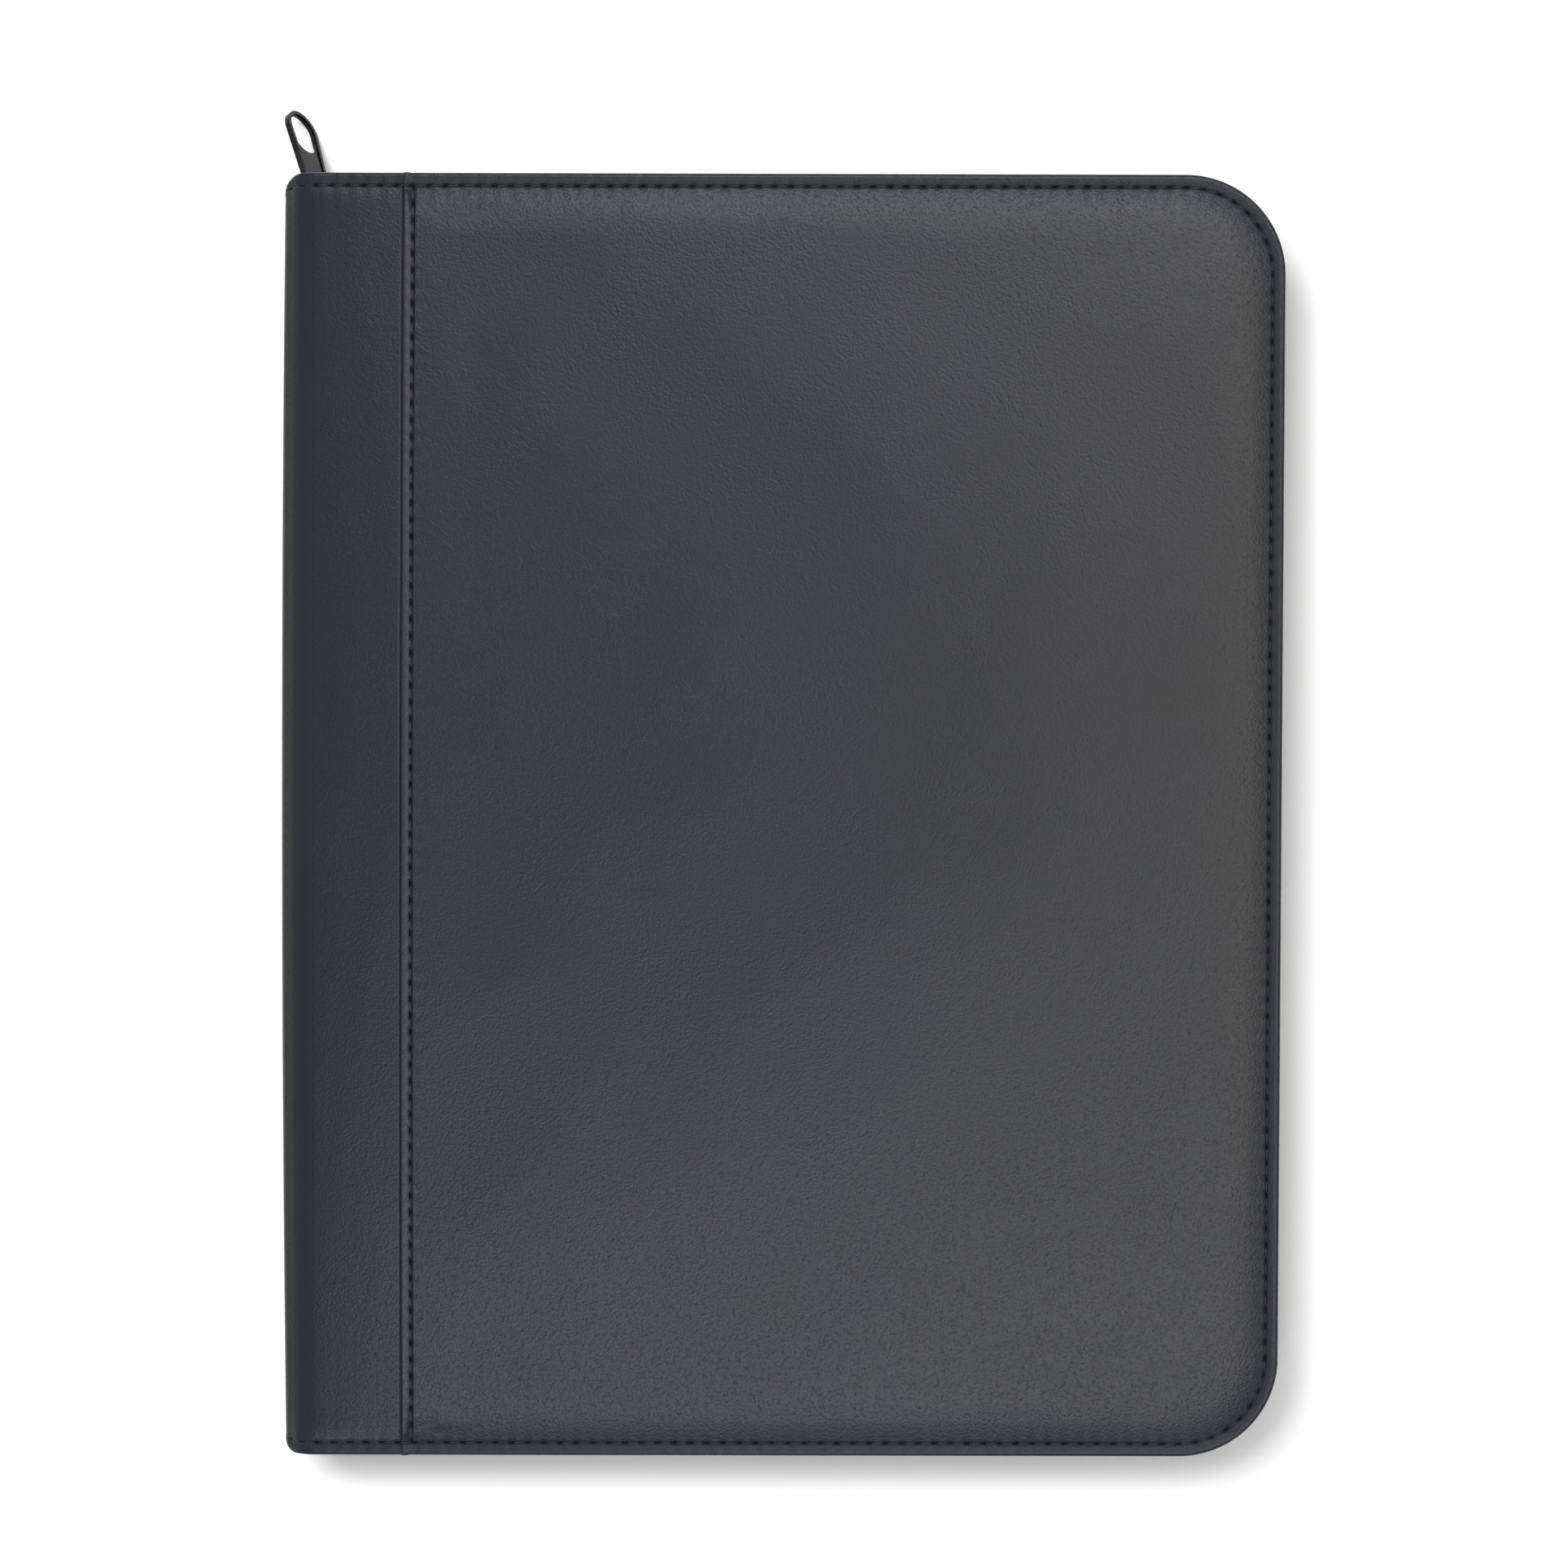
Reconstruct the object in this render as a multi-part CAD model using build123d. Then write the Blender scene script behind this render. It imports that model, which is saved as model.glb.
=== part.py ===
from build123d import *
import os
from math import cos, degrees, radians, sin

# Zippered padfolio, closed and lying on its back cover. Millimetres, +Z up, +Y towards the top edge.
# The origin is the middle of the back cover's outer face, and the spine is on the left.

# Case
COVER_WIDTH = 255.0
COVER_HEIGHT = 327.0
CASE_THICKNESS = 25.4
CORNER_RADIUS = 25.4
SPINE_CORNER_RADIUS = 5.5
SPINE_STRIP = 30.85
SPINE_FOLD_RADIUS = 9.0
FOLD_CLEARANCE = 0.4

# Layers of a cover, from the outer face inwards
LEATHER = 0.9
CROWN = 0.9
BOARD = 1.8
TAPE = 0.5
LINING = 0.4

# Turned edge and seam of a cover
BORDER = 3.1
BORDER_RISE = 0.4
EDGE_ROUND = 1.2
BEAD_ROUND = 0.35
GROOVE = 0.7
ROLL = 14.0
LAP = 2.9
LAP_RISE = 0.6
SEAM_ROLL = 4.0

# Zipper chain
ZIP_INSET = 7.1
TAPE_FLANGE = 7.0
TOOTH_PITCH = 3.6
TOOTH_THICKNESS = 2.2
TOOTH_REACH = 1.4
TOOTH_BASE = 1.65
TOOTH_TIP = 1.15
CHAIN_HALF = 3.2
TOOTH_BEAD = 1.2
STOP_LENGTH = 1.0

# Slider
SLIDER_LENGTH = 10.0
SLIDER_PLATE = 0.9
SLIDER_WALL = 0.9
SLIDER_FLARE = 1.1
SLIDER_GAP = 0.2
SLIDER_ROUND = 1.2
WEDGE_LENGTH = 2.8
WEDGE_WIDTH = 1.4
BAIL_GAP = 3.4
BAIL_BAR = 0.9
BAIL_WIDTH = 1.2
BAIL_SPAN = 8.4
BAIL_ROUND = 1.0
PIVOT_SHARE = 0.565

# Pull tab
PULL_REACH = 23.7
PULL_TIP_WIDTH = 11.0
PULL_BASE_WIDTH = 9.4
PULL_THICKNESS = 1.5
PULL_RIM = 0.95
PULL_RECESS = 0.4
HOLE_CENTRE = 16.9
HOLE_LENGTH = 11.0
HOLE_WIDTH = 8.6
END_BAR = 1.2
EYE_LENGTH = 4.1
EYE_WIDTH = 5.6
PULL_HEADING = 17.9
PULL_DROOP = 23.2
PULL_ROLL = 27.0

# Inside
SPINE_LINING = 0.5
PEN_BORE = 10.4
LOOP_STRAP = 0.8
LOOP_WIDTH = 24.0
LOOP_Y = 45.0
PAD_SPINE_MARGIN = 25.5
PAD_ZIP_MARGIN = 13.5
PAD_END_MARGIN = 16.0
PAD_SHEETS = 5.0
PAD_BACKING = 0.8
BINDING = 0.3
BINDING_FLAP = 12.0
PAD_POCKET_HEIGHT = 252.0
POCKET = 0.6
POCKET_GAP = 0.5
POCKET_HEM = 3.0
POCKET_ROUND = 6.0
DOCUMENT_GAP = 22.0
CARD_WIDTH = 98.0
CARD_HEIGHT = 58.0
CARD_STEP = 14.0
CARD_TIERS = 3
ID_GAP = 14.0
ID_HEIGHT = 76.0
ID_FRAME = 11.0
WINDOW = 0.3
FIT = 0.1

# Edges and levels that follow from the sizes above
LEFT = -COVER_WIDTH / 2
RIGHT = COVER_WIDTH / 2
TOP = COVER_HEIGHT / 2
MID = CASE_THICKNESS / 2
SEAM = LEFT + SPINE_STRIP
FOLD = LEFT + SPINE_FOLD_RADIUS
BOARD_OUT = LEATHER + CROWN
BOARD_IN = BOARD_OUT + BOARD
FLANGE_IN = BOARD_IN + TAPE
STACK = FLANGE_IN + LINING
TAPE_OUT = ZIP_INSET - TAPE / 2
TAPE_IN = ZIP_INSET + TAPE / 2
FLANGE_END = TAPE_OUT + TAPE_FLANGE
LINING_INSET = TAPE_IN + 3 * FIT
CLEAR = 3 * FIT
TAPE_END = LEFT + LEATHER + SPINE_LINING + CLEAR
FOLD_MIDDLE = SPINE_FOLD_RADIUS - LEATHER / 2
FOLD_Z = CROWN + SPINE_FOLD_RADIUS
CHAIN_Y = TOP - ZIP_INSET
SLIDER_X0 = TAPE_END + STOP_LENGTH + 2 * FIT
SLIDER_X1 = SLIDER_X0 + SLIDER_LENGTH
PLATE_OUT = TOOTH_THICKNESS / 2 + SLIDER_GAP + SLIDER_PLATE
PIVOT = Vector(SLIDER_X0 + PIVOT_SHARE * SLIDER_LENGTH, CHAIN_Y + PLATE_OUT + BAIL_GAP / 2, MID)
PAD_X0 = LEFT + PAD_SPINE_MARGIN
PAD_X1 = RIGHT - PAD_ZIP_MARGIN
PAD_Y1 = TOP - PAD_END_MARGIN
PAD_LOW = STACK + PAD_BACKING + FIT + POCKET
PAD_HIGH = PAD_LOW + PAD_SHEETS


def cover_face(inset, left):
    """Outline of a cover set in from its three zipped edges and cut straight at x = left."""
    right = RIGHT - inset
    height = COVER_HEIGHT - 2 * inset
    face = Pos((left + right) / 2, 0) * Rectangle(right - left, height)
    corners = face.vertices().group_by(Axis.X)[-1]
    return fillet(corners, max(CORNER_RADIUS - inset, 1.0))


def plate(face, low, high):
    """Flat face in the XY plane made solid between two heights."""
    return extrude(Pos(0, 0, low) * face, high - low)


def band(outer, inner, left, low, high):
    """Strip round the three zipped edges, between two insets and two heights."""
    ring = cover_face(outer, left) - cover_face(inner, left)
    return plate(ring, low, high)


def slab(x0, x1, y0, y1, low, high):
    """Rectangular block between two corners."""
    return Pos((x0 + x1) / 2, (y0 + y1) / 2, (low + high) / 2) * Box(x1 - x0, y1 - y0, high - low)


def side_prism(face, y0, y1):
    """Face drawn in x and z made solid between two values of y."""
    return extrude(Plane((0, y1, 0), x_dir=(1, 0, 0), z_dir=(0, -1, 0)) * face, y1 - y0)


def flip(shape):
    """The same piece on the front cover."""
    return mirror(shape, about=Plane.XY.offset(MID))


def edge_profile():
    """Section of a turned edge: inset from the edge along x, depth from the outer face along y."""
    rise = CROWN - BORDER_RISE
    lip = TAPE_OUT - FIT
    corners = [
        (0, rise),
        (BORDER - BEAD_ROUND, rise),
        (BORDER, rise + BEAD_ROUND),
        (BORDER, BOARD_OUT),
        (LEATHER, BOARD_OUT),
        (LEATHER, BOARD_IN),
        (lip, BOARD_IN),
        (lip, FLANGE_IN),
        (TAPE, FLANGE_IN),
        (0, FLANGE_IN - TAPE),
    ]
    face = make_face(Polyline(*corners, close=True))
    outer = face.vertices().sort_by(lambda v: v.X + v.Y)[0]
    return fillet(outer, EDGE_ROUND)


def crown_frustum(depth):
    """Padded middle of a cover, falling away to the stitch line round it."""
    low = cover_face(BORDER + GROOVE, SEAM + LAP + GROOVE)
    high = cover_face(BORDER + ROLL, SEAM + LAP + SEAM_ROLL)
    return loft([Pos(0, 0, depth + CROWN) * low, Pos(0, 0, depth) * high], ruled=True)


def cover_panel():
    """Leather face of a cover with its turned edge, the lapped seam and the padded middle."""
    path = FilletPolyline((SEAM, -TOP), (RIGHT, -TOP), (RIGHT, TOP), (SEAM, TOP), radius=CORNER_RADIUS)
    start = Plane((SEAM, -TOP, 0), x_dir=(0, 1, 0), z_dir=(1, 0, 0))
    edge = sweep(start * edge_profile(), path=path)
    base = plate(cover_face(BORDER, SEAM), CROWN, BOARD_OUT)
    reach = TOP - BORDER
    lap = slab(SEAM, SEAM + LAP, -reach, reach, CROWN - LAP_RISE, CROWN)
    ridges = lap.edges().filter_by(Axis.Y).group_by(Axis.Z)[0]
    lap = fillet(ridges, BEAD_ROUND)
    return edge + base + lap + crown_frustum(0) - crown_frustum(LEATHER)


def fold_point(radius, angle):
    """Point on the back fold of the spine; 0 is its lowest point and 90 lies on the spine wall."""
    return FOLD - radius * sin(radians(angle)), FOLD_Z - radius * cos(radians(angle))


def fold_arc(radius, start, end):
    """Arc of the back fold between two angles."""
    middle = (start + end) / 2
    return ThreePointArc(fold_point(radius, start), fold_point(radius, middle), fold_point(radius, end))


def spine_prism(edges, reach):
    """Closed outline in x and z made solid over the height of the spine, its ends rounded off."""
    solid = side_prism(make_face(edges), -reach, reach)
    outline = Pos(LEFT / 2, 0) * Rectangle(COVER_WIDTH / 2, 2 * reach)
    rounded = fillet(outline.vertices().group_by(Axis.X)[0], SPINE_CORNER_RADIUS)
    return solid & plate(rounded, 0, CASE_THICKNESS)


def spine_strip():
    """Leather from the seam to half way round the back fold, with turned ends."""
    outer = SPINE_FOLD_RADIUS
    inner = SPINE_FOLD_RADIUS - LEATHER
    end = 45 - degrees((LEATHER / 2 + FOLD_CLEARANCE) / FOLD_MIDDLE)
    edges = [
        Line((SEAM, CROWN), fold_point(outer, 0)),
        fold_arc(outer, 0, end),
        Line(fold_point(outer, end), fold_point(inner, end)),
        fold_arc(inner, end, 0),
        Line(fold_point(inner, 0), (SEAM, BOARD_OUT)),
        Line((SEAM, BOARD_OUT), (SEAM, CROWN)),
    ]
    strip = spine_prism(edges, TOP)
    lower = Plane((FOLD, -TOP, 0), x_dir=(0, 1, 0), z_dir=(1, 0, 0))
    turned = extrude(lower * edge_profile(), SEAM - FOLD)
    return strip + turned + mirror(turned, about=Plane.XZ)


def spine_wall():
    """Leather of the spine between the two folds, its free edges rounded about the fold lines."""
    outer = SPINE_FOLD_RADIUS
    inner = SPINE_FOLD_RADIUS - LEATHER
    bead = fold_point(FOLD_MIDDLE, 45)
    tip = bead[0] + LEATHER / 2 * cos(radians(45)), bead[1] - LEATHER / 2 * sin(radians(45))
    low = [
        fold_arc(inner, 90, 45),
        ThreePointArc(fold_point(inner, 45), tip, fold_point(outer, 45)),
        fold_arc(outer, 45, 90),
    ]
    high = [mirror(edge, about=Plane.XZ.offset(-MID)) for edge in low]
    sides = []
    for radius in (inner, outer):
        x, z = fold_point(radius, 90)
        if CASE_THICKNESS - 2 * z > FIT:
            sides.append(Line((x, z), (x, CASE_THICKNESS - z)))
    return spine_prism(low + high + sides, TOP)


def spine_inside():
    """Lining glued inside the spine wall, stopping short of both ends."""
    outer = SPINE_FOLD_RADIUS - LEATHER
    inner = outer - SPINE_LINING
    start = 52
    low = [
        fold_arc(inner, 90, start),
        Line(fold_point(inner, start), fold_point(outer, start)),
        fold_arc(outer, start, 90),
    ]
    high = [mirror(edge, about=Plane.XZ.offset(-MID)) for edge in low]
    sides = []
    for radius in (inner, outer):
        x, z = fold_point(radius, 90)
        sides.append(Line((x, z), (x, CASE_THICKNESS - z)))
    reach = TOP - ZIP_INSET - TAPE_FLANGE
    return side_prism(make_face(low + high + sides), -reach, reach)


def pen_loop():
    """Elastic loop and its sewn foot on the spine lining."""
    wall = LEFT + LEATHER + SPINE_LINING
    outer = PEN_BORE / 2 + LOOP_STRAP
    ring = Pos(wall + outer, MID) * (Circle(outer) - Circle(PEN_BORE / 2))
    foot = Pos(wall + LOOP_STRAP / 2, MID) * Rectangle(LOOP_STRAP, outer)
    return side_prism(ring + foot, LOOP_Y - LOOP_WIDTH / 2, LOOP_Y + LOOP_WIDTH / 2)


def interior():
    """Room inside the spine leather that the zipper tapes may use."""
    low = BOARD_OUT + SPINE_LINING + CLEAR
    width = RIGHT - TAPE_END
    room = Pos(TAPE_END + width / 2, MID) * Rectangle(width, CASE_THICKNESS - 2 * low)
    corners = room.vertices().group_by(Axis.X)[0]
    room = fillet(corners, SPINE_FOLD_RADIUS - LEATHER - SPINE_LINING - CLEAR)
    return side_prism(room, -TOP, TOP)


def zipper_tape():
    """Tape of one zipper half: a flange under the lining and a wall up to the teeth."""
    wall = band(TAPE_OUT, TAPE_IN, TAPE_END, BOARD_IN, MID - CHAIN_HALF) & interior()
    flange = band(TAPE_OUT, FLANGE_END, FOLD, BOARD_IN, FLANGE_IN)
    return wall + flange


def tooth(centre):
    """Corners of one tooth in run length and height from the chain's middle, from far to near."""
    root = TOOTH_BEAD - CHAIN_HALF
    return [
        (centre + TOOTH_BASE / 2, root),
        (centre + TOOTH_TIP / 2, TOOTH_REACH),
        (centre - TOOTH_TIP / 2, TOOTH_REACH),
        (centre - TOOTH_BASE / 2, root),
    ]


def straight_teeth(start, run, outward, length, phase):
    """Comb of teeth on its bead along one straight side."""
    root = TOOTH_BEAD - CHAIN_HALF
    count = round(length / TOOTH_PITCH)
    corners = [(0, root), (0, -CHAIN_HALF), (length, -CHAIN_HALF), (length, root)]
    for i in reversed(range(count)):
        corners += tooth((i + phase) * length / count)
    comb = make_face(Polyline(*corners, close=True))
    place = Plane(start, x_dir=run, z_dir=outward).offset(-TOOTH_THICKNESS / 2)
    return extrude(place * comb, TOOTH_THICKNESS)


def corner_teeth(side, phase):
    """Teeth on their bead round one rounded corner; side is -1 at the bottom and 1 at the top."""
    radius = CORNER_RADIUS - ZIP_INSET
    centre = Pos(RIGHT - CORNER_RADIUS, side * (TOP - CORNER_RADIUS), 0)
    quarter = Pos(radius, side * radius) * Rectangle(2 * radius, 2 * radius)
    ring = Circle(radius + TOOTH_THICKNESS / 2) - Circle(radius - TOOTH_THICKNESS / 2)
    row = plate(ring & quarter, MID - CHAIN_HALF, MID - CHAIN_HALF + TOOTH_BEAD)
    count = round(radius * radians(90) / TOOTH_PITCH)
    face = make_face(Polyline(*tooth(0), close=True))
    inside = Plane((radius - TOOTH_THICKNESS / 2, 0, MID), x_dir=(0, 1, 0), z_dir=(1, 0, 0))
    one = extrude(inside * face, TOOTH_THICKNESS)
    for i in range(count):
        angle = (i + phase) * 90 / count - 90 * (side < 0)
        row += Rot(0, 0, angle) * one
    return centre * row


def tooth_row(phase):
    """One half of the chain round three sides, teeth pointing up."""
    bottom_start = TAPE_END + STOP_LENGTH
    turn = RIGHT - CORNER_RADIUS
    tall = COVER_HEIGHT - 2 * CORNER_RADIUS
    top_end = SLIDER_X1 + FIT
    low = straight_teeth((bottom_start, -CHAIN_Y, MID), (1, 0, 0), (0, -1, 0), turn - bottom_start, phase)
    side = straight_teeth((RIGHT - ZIP_INSET, -tall / 2, MID), (0, 1, 0), (1, 0, 0), tall, phase)
    high = straight_teeth((turn, CHAIN_Y, MID), (-1, 0, 0), (0, 1, 0), turn - top_end, phase)
    return low + corner_teeth(-1, phase) + side + corner_teeth(1, phase) + high


def end_stop(y):
    """Stop clamped on the end of the back tape."""
    half = TOOTH_THICKNESS / 2 + SLIDER_GAP
    return slab(TAPE_END, TAPE_END + STOP_LENGTH, y - half, y + half, MID - CHAIN_HALF, MID - TOOTH_BEAD)


def slider_body():
    """Two plates with flanges round the chain, slotted for the tapes and joined by the wedge."""
    tail = CHAIN_HALF + SLIDER_GAP
    slope = SLIDER_FLARE / SLIDER_LENGTH

    def trapezoid(extra, over):
        near = tail + SLIDER_FLARE + extra + slope * over
        far = tail + extra - slope * over
        x0 = SLIDER_X0 - over
        x1 = SLIDER_X1 + over
        corners = [(x0, MID - near), (x1, MID - far), (x1, MID + far), (x0, MID + near)]
        return make_face(Polyline(*corners, close=True))

    shield = trapezoid(SLIDER_WALL, 0)
    shield = fillet(shield.vertices(), SLIDER_ROUND)
    room = TOOTH_THICKNESS / 2 + SLIDER_GAP
    body = side_prism(shield, CHAIN_Y - PLATE_OUT, CHAIN_Y + PLATE_OUT)
    body -= side_prism(trapezoid(0, 1), CHAIN_Y - room, CHAIN_Y + room)
    slot = TAPE / 2 + SLIDER_GAP
    body -= slab(LEFT, RIGHT, CHAIN_Y - slot, CHAIN_Y + slot, 0, CASE_THICKNESS)
    nose = SLIDER_X0 + SLIDER_PLATE
    wide = nose + WEDGE_LENGTH / 3
    diamond = [(nose, MID), (wide, MID - WEDGE_WIDTH / 2), (nose + WEDGE_LENGTH, MID), (wide, MID + WEDGE_WIDTH / 2)]
    wedge = make_face(Polyline(*diamond, close=True))
    return body + side_prism(wedge, CHAIN_Y - room, CHAIN_Y + room)


def slider_bail():
    """Arch on the slider's outer plate that carries the pull."""
    x0 = SLIDER_X0 + FIT * 4
    x1 = x0 + BAIL_SPAN
    low = CHAIN_Y + PLATE_OUT
    tall = BAIL_GAP + BAIL_BAR
    outer = Pos((x0 + x1) / 2, low + tall / 2) * Rectangle(BAIL_SPAN, tall)
    outer = fillet(outer.vertices().group_by(Axis.Y)[-1], BAIL_BAR + BAIL_ROUND)
    inner = Pos((x0 + x1) / 2, low + BAIL_GAP / 2) * Rectangle(BAIL_SPAN - 2 * BAIL_BAR, BAIL_GAP)
    inner = fillet(inner.vertices().group_by(Axis.Y)[-1], BAIL_ROUND)
    return plate(outer - inner, MID - BAIL_WIDTH / 2, MID + BAIL_WIDTH / 2)


def pull_plane():
    """Plane of the pull tab: x along its length from the pivot, z out of its upper face."""
    heading = radians(PULL_HEADING)
    droop = radians(PULL_DROOP)
    roll = radians(PULL_ROLL)
    along = Vector(-sin(heading) * cos(droop), cos(heading) * cos(droop), -sin(droop))
    upright = Vector(-sin(heading) * sin(droop), cos(heading) * sin(droop), cos(droop))
    across = along.cross(upright) * sin(roll) - upright * cos(roll)
    return Plane(PIVOT, x_dir=along, z_dir=across.cross(along))


def pull_tab():
    """Oblong pull with a raised rim, a long hole to hold and an eye round the bail."""
    tip = PULL_TIP_WIDTH / 2
    base = PULL_BASE_WIDTH / 2
    far = PULL_REACH - tip
    near = base - END_BAR / 2

    def outline(inset):
        circles = [Pos(far, 0) * Circle(tip - inset), Pos(near, 0) * Circle(base - inset)]
        return make_hull([c.edge() for c in circles])

    hole = Pos(HOLE_CENTRE, 0) * SlotOverall(HOLE_LENGTH, HOLE_WIDTH)
    eye = Pos(END_BAR / 2 + EYE_LENGTH / 2, 0) * Rectangle(EYE_LENGTH, EYE_WIDTH)
    eye = fillet(eye.vertices(), EYE_LENGTH / 4)
    tab = plate(outline(0), -PULL_THICKNESS / 2, PULL_THICKNESS / 2)
    web = outline(PULL_RIM)
    top = PULL_THICKNESS / 2
    tab -= plate(web, top - PULL_RECESS, top)
    tab -= plate(web, -top, PULL_RECESS - top)
    tab -= plate(hole, -top, top)
    tab -= plate(eye, -top, top)
    return pull_plane() * tab


def pocket(x0, x1, y0, y1, base, gap):
    """Sewn pocket on a flat base: closed at three sides, open at its top edge."""
    outline = Pos((x0 + x1) / 2, (y0 + y1) / 2) * Rectangle(x1 - x0, y1 - y0)
    outline = fillet(outline.vertices().group_by(Axis.Y)[0], POCKET_ROUND)
    sheet = plate(outline, base, base + gap + POCKET)
    return sheet - slab(x0 + POCKET_HEM, x1 - POCKET_HEM, y0 + POCKET_HEM, y1, base, base + gap)


def lining():
    """Lining of a cover over the tape flange, padded out to the board inside it."""
    left = FOLD + FIT
    upper = plate(cover_face(LINING_INSET, left), FLANGE_IN, STACK)
    return upper + plate(cover_face(FLANGE_END + FIT, left), BOARD_IN, FLANGE_IN)


pieces = {}

for side in ("back", "front"):
    turn = flip if side == "front" else lambda shape: shape
    pieces[side + "_panel"] = turn(cover_panel())
    pieces[side + "_foam"] = turn(crown_frustum(LEATHER))
    pieces[side + "_board"] = turn(plate(cover_face(LEATHER, FOLD), BOARD_OUT, BOARD_IN))
    pieces[side + "_lining"] = turn(lining())
    pieces["spine_" + side + "_strip"] = turn(spine_strip())
    pieces[side + "_zipper_tape"] = turn(zipper_tape())
    pieces[side + "_zipper_teeth"] = turn(tooth_row(0.25 if side == "back" else 0.75))

pieces["back_zipper_stops"] = Compound(children=[end_stop(CHAIN_Y), end_stop(-CHAIN_Y)])
pieces["front_zipper_stop"] = flip(end_stop(-CHAIN_Y))
pieces["spine_wall"] = spine_wall()
pieces["spine_lining"] = spine_inside()
pieces["pen_loop"] = pen_loop()
pieces["slider_body"] = slider_body()
pieces["slider_bail"] = slider_bail()
pieces["pull_tab"] = pull_tab()

# Writing pad on the back cover, its backing held in a pocket
PAD_HEM = POCKET_HEM + FIT
POCKET_LOW = -PAD_Y1 - PAD_HEM
pieces["pad_pocket"] = pocket(PAD_X0 - PAD_HEM, PAD_X1 + PAD_HEM, POCKET_LOW, POCKET_LOW + PAD_POCKET_HEIGHT,
                              STACK, PAD_BACKING + FIT)
pieces["pad_backing"] = slab(PAD_X0, PAD_X1, -PAD_Y1, PAD_Y1, STACK, STACK + PAD_BACKING)
pieces["pad_sheets"] = slab(PAD_X0, PAD_X1, -PAD_Y1, PAD_Y1, PAD_LOW, PAD_HIGH)
head = slab(PAD_X0, PAD_X1, PAD_Y1, PAD_Y1 + BINDING, STACK, PAD_HIGH + BINDING)
flap = slab(PAD_X0, PAD_X1, PAD_Y1 - BINDING_FLAP, PAD_Y1, PAD_HIGH, PAD_HIGH + BINDING)
pieces["pad_binding"] = head + flap

# Pockets on the front cover: cards in tiers, a card behind a window, and documents below them
CARD_Y = PAD_Y1 - CARD_HEIGHT - CARD_STEP * (CARD_TIERS - 1)
for tier in range(CARD_TIERS):
    base = STACK + tier * (POCKET_GAP + POCKET)
    card = pocket(PAD_X0, PAD_X0 + CARD_WIDTH, CARD_Y, PAD_Y1 - tier * CARD_STEP, base, POCKET_GAP)
    pieces["card_pocket_" + str(tier + 1)] = flip(card)

ID_X0 = PAD_X0 + CARD_WIDTH + ID_GAP
ID_Y0 = PAD_Y1 - ID_HEIGHT
WINDOW_IN = STACK + POCKET_GAP + WINDOW
frame = pocket(ID_X0, PAD_X1, ID_Y0, PAD_Y1, STACK, POCKET_GAP + WINDOW)
sight = slab(ID_X0 + ID_FRAME, PAD_X1 - ID_FRAME, ID_Y0 + ID_FRAME, PAD_Y1 - ID_FRAME, STACK, MID)
pieces["id_pocket_frame"] = flip(frame - sight)
pane = slab(ID_X0 + POCKET_HEM, PAD_X1 - POCKET_HEM, ID_Y0 + POCKET_HEM, PAD_Y1, STACK + POCKET_GAP, WINDOW_IN)
pieces["id_window"] = flip(pane)

DOCUMENT_TOP = min(CARD_Y, ID_Y0) - DOCUMENT_GAP
pieces["document_pocket"] = flip(pocket(PAD_X0, PAD_X1, -PAD_Y1, DOCUMENT_TOP, STACK, POCKET_GAP))

os.makedirs("parts", exist_ok=True)
for name, shape in pieces.items():
    export_step(shape, "parts/" + name + ".step")
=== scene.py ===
"""Looks of a zippered padfolio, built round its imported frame. Sizes in this file are millimetres."""

import logging
import math
from dataclasses import dataclass
from enum import Enum
from typing import Any, Callable, Sequence

import bmesh
import bpy
import numpy as np
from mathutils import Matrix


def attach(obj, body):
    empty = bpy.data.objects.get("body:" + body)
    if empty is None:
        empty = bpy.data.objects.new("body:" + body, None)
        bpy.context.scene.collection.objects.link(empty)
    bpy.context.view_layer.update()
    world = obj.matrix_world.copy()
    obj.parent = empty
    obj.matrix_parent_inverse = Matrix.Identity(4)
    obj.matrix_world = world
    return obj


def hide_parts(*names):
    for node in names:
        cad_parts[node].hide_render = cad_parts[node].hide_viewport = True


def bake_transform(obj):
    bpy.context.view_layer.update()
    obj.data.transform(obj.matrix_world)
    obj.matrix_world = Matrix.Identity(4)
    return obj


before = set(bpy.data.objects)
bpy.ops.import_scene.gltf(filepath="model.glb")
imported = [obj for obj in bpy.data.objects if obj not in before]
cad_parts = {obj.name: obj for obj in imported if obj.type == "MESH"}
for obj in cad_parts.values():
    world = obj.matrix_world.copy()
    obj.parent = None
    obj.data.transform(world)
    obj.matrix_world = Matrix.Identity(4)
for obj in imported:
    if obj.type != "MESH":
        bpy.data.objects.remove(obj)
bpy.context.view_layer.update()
LOG = logging.getLogger("padfolio")

# Sizes of the case, as in the part's source
MM = 0.001
THICKNESS = 25.4
MIDDLE = THICKNESS / 2
RIGHT = 127.5
LEFT = -RIGHT
TOP = 163.5
CORNER = 25.4
SPINE_CORNER = 5.5
SEAM = LEFT + 30.85
FOLD_RADIUS = 9.0
FOLD = LEFT + FOLD_RADIUS
FACE = 0.9
LEATHER = 0.9
BOARD_OUT = 1.8
BOARD_IN = 3.6
FLANGE_IN = 4.1
STACK = 4.5
ZIP_INSET = 7.1
TAPE_OUT = ZIP_INSET - 0.25
TAPE_IN = ZIP_INSET + 0.25
FLANGE_END = TAPE_OUT + 7.0
TAPE_END = LEFT + 1.7
PAD_LEFT = LEFT + 25.5
PAD_RIGHT = RIGHT - 13.5
PAD_TOP = TOP - 16.0

# Sewing, counted from the photo: a stitch is a sixth of an inch
STITCH = 25.4 / 6
STITCH_INSET = 3.3
STEPS = 8
THREAD_RADIUS = 0.3
NEEDLE_LONG = 0.13
NEEDLE_WIDE = 0.21
SHOULDER = SEAM + 7.0
STRIP_STITCHES = 7
STRIP_PITCH = (SHOULDER - FOLD) / STRIP_STITCHES


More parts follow.
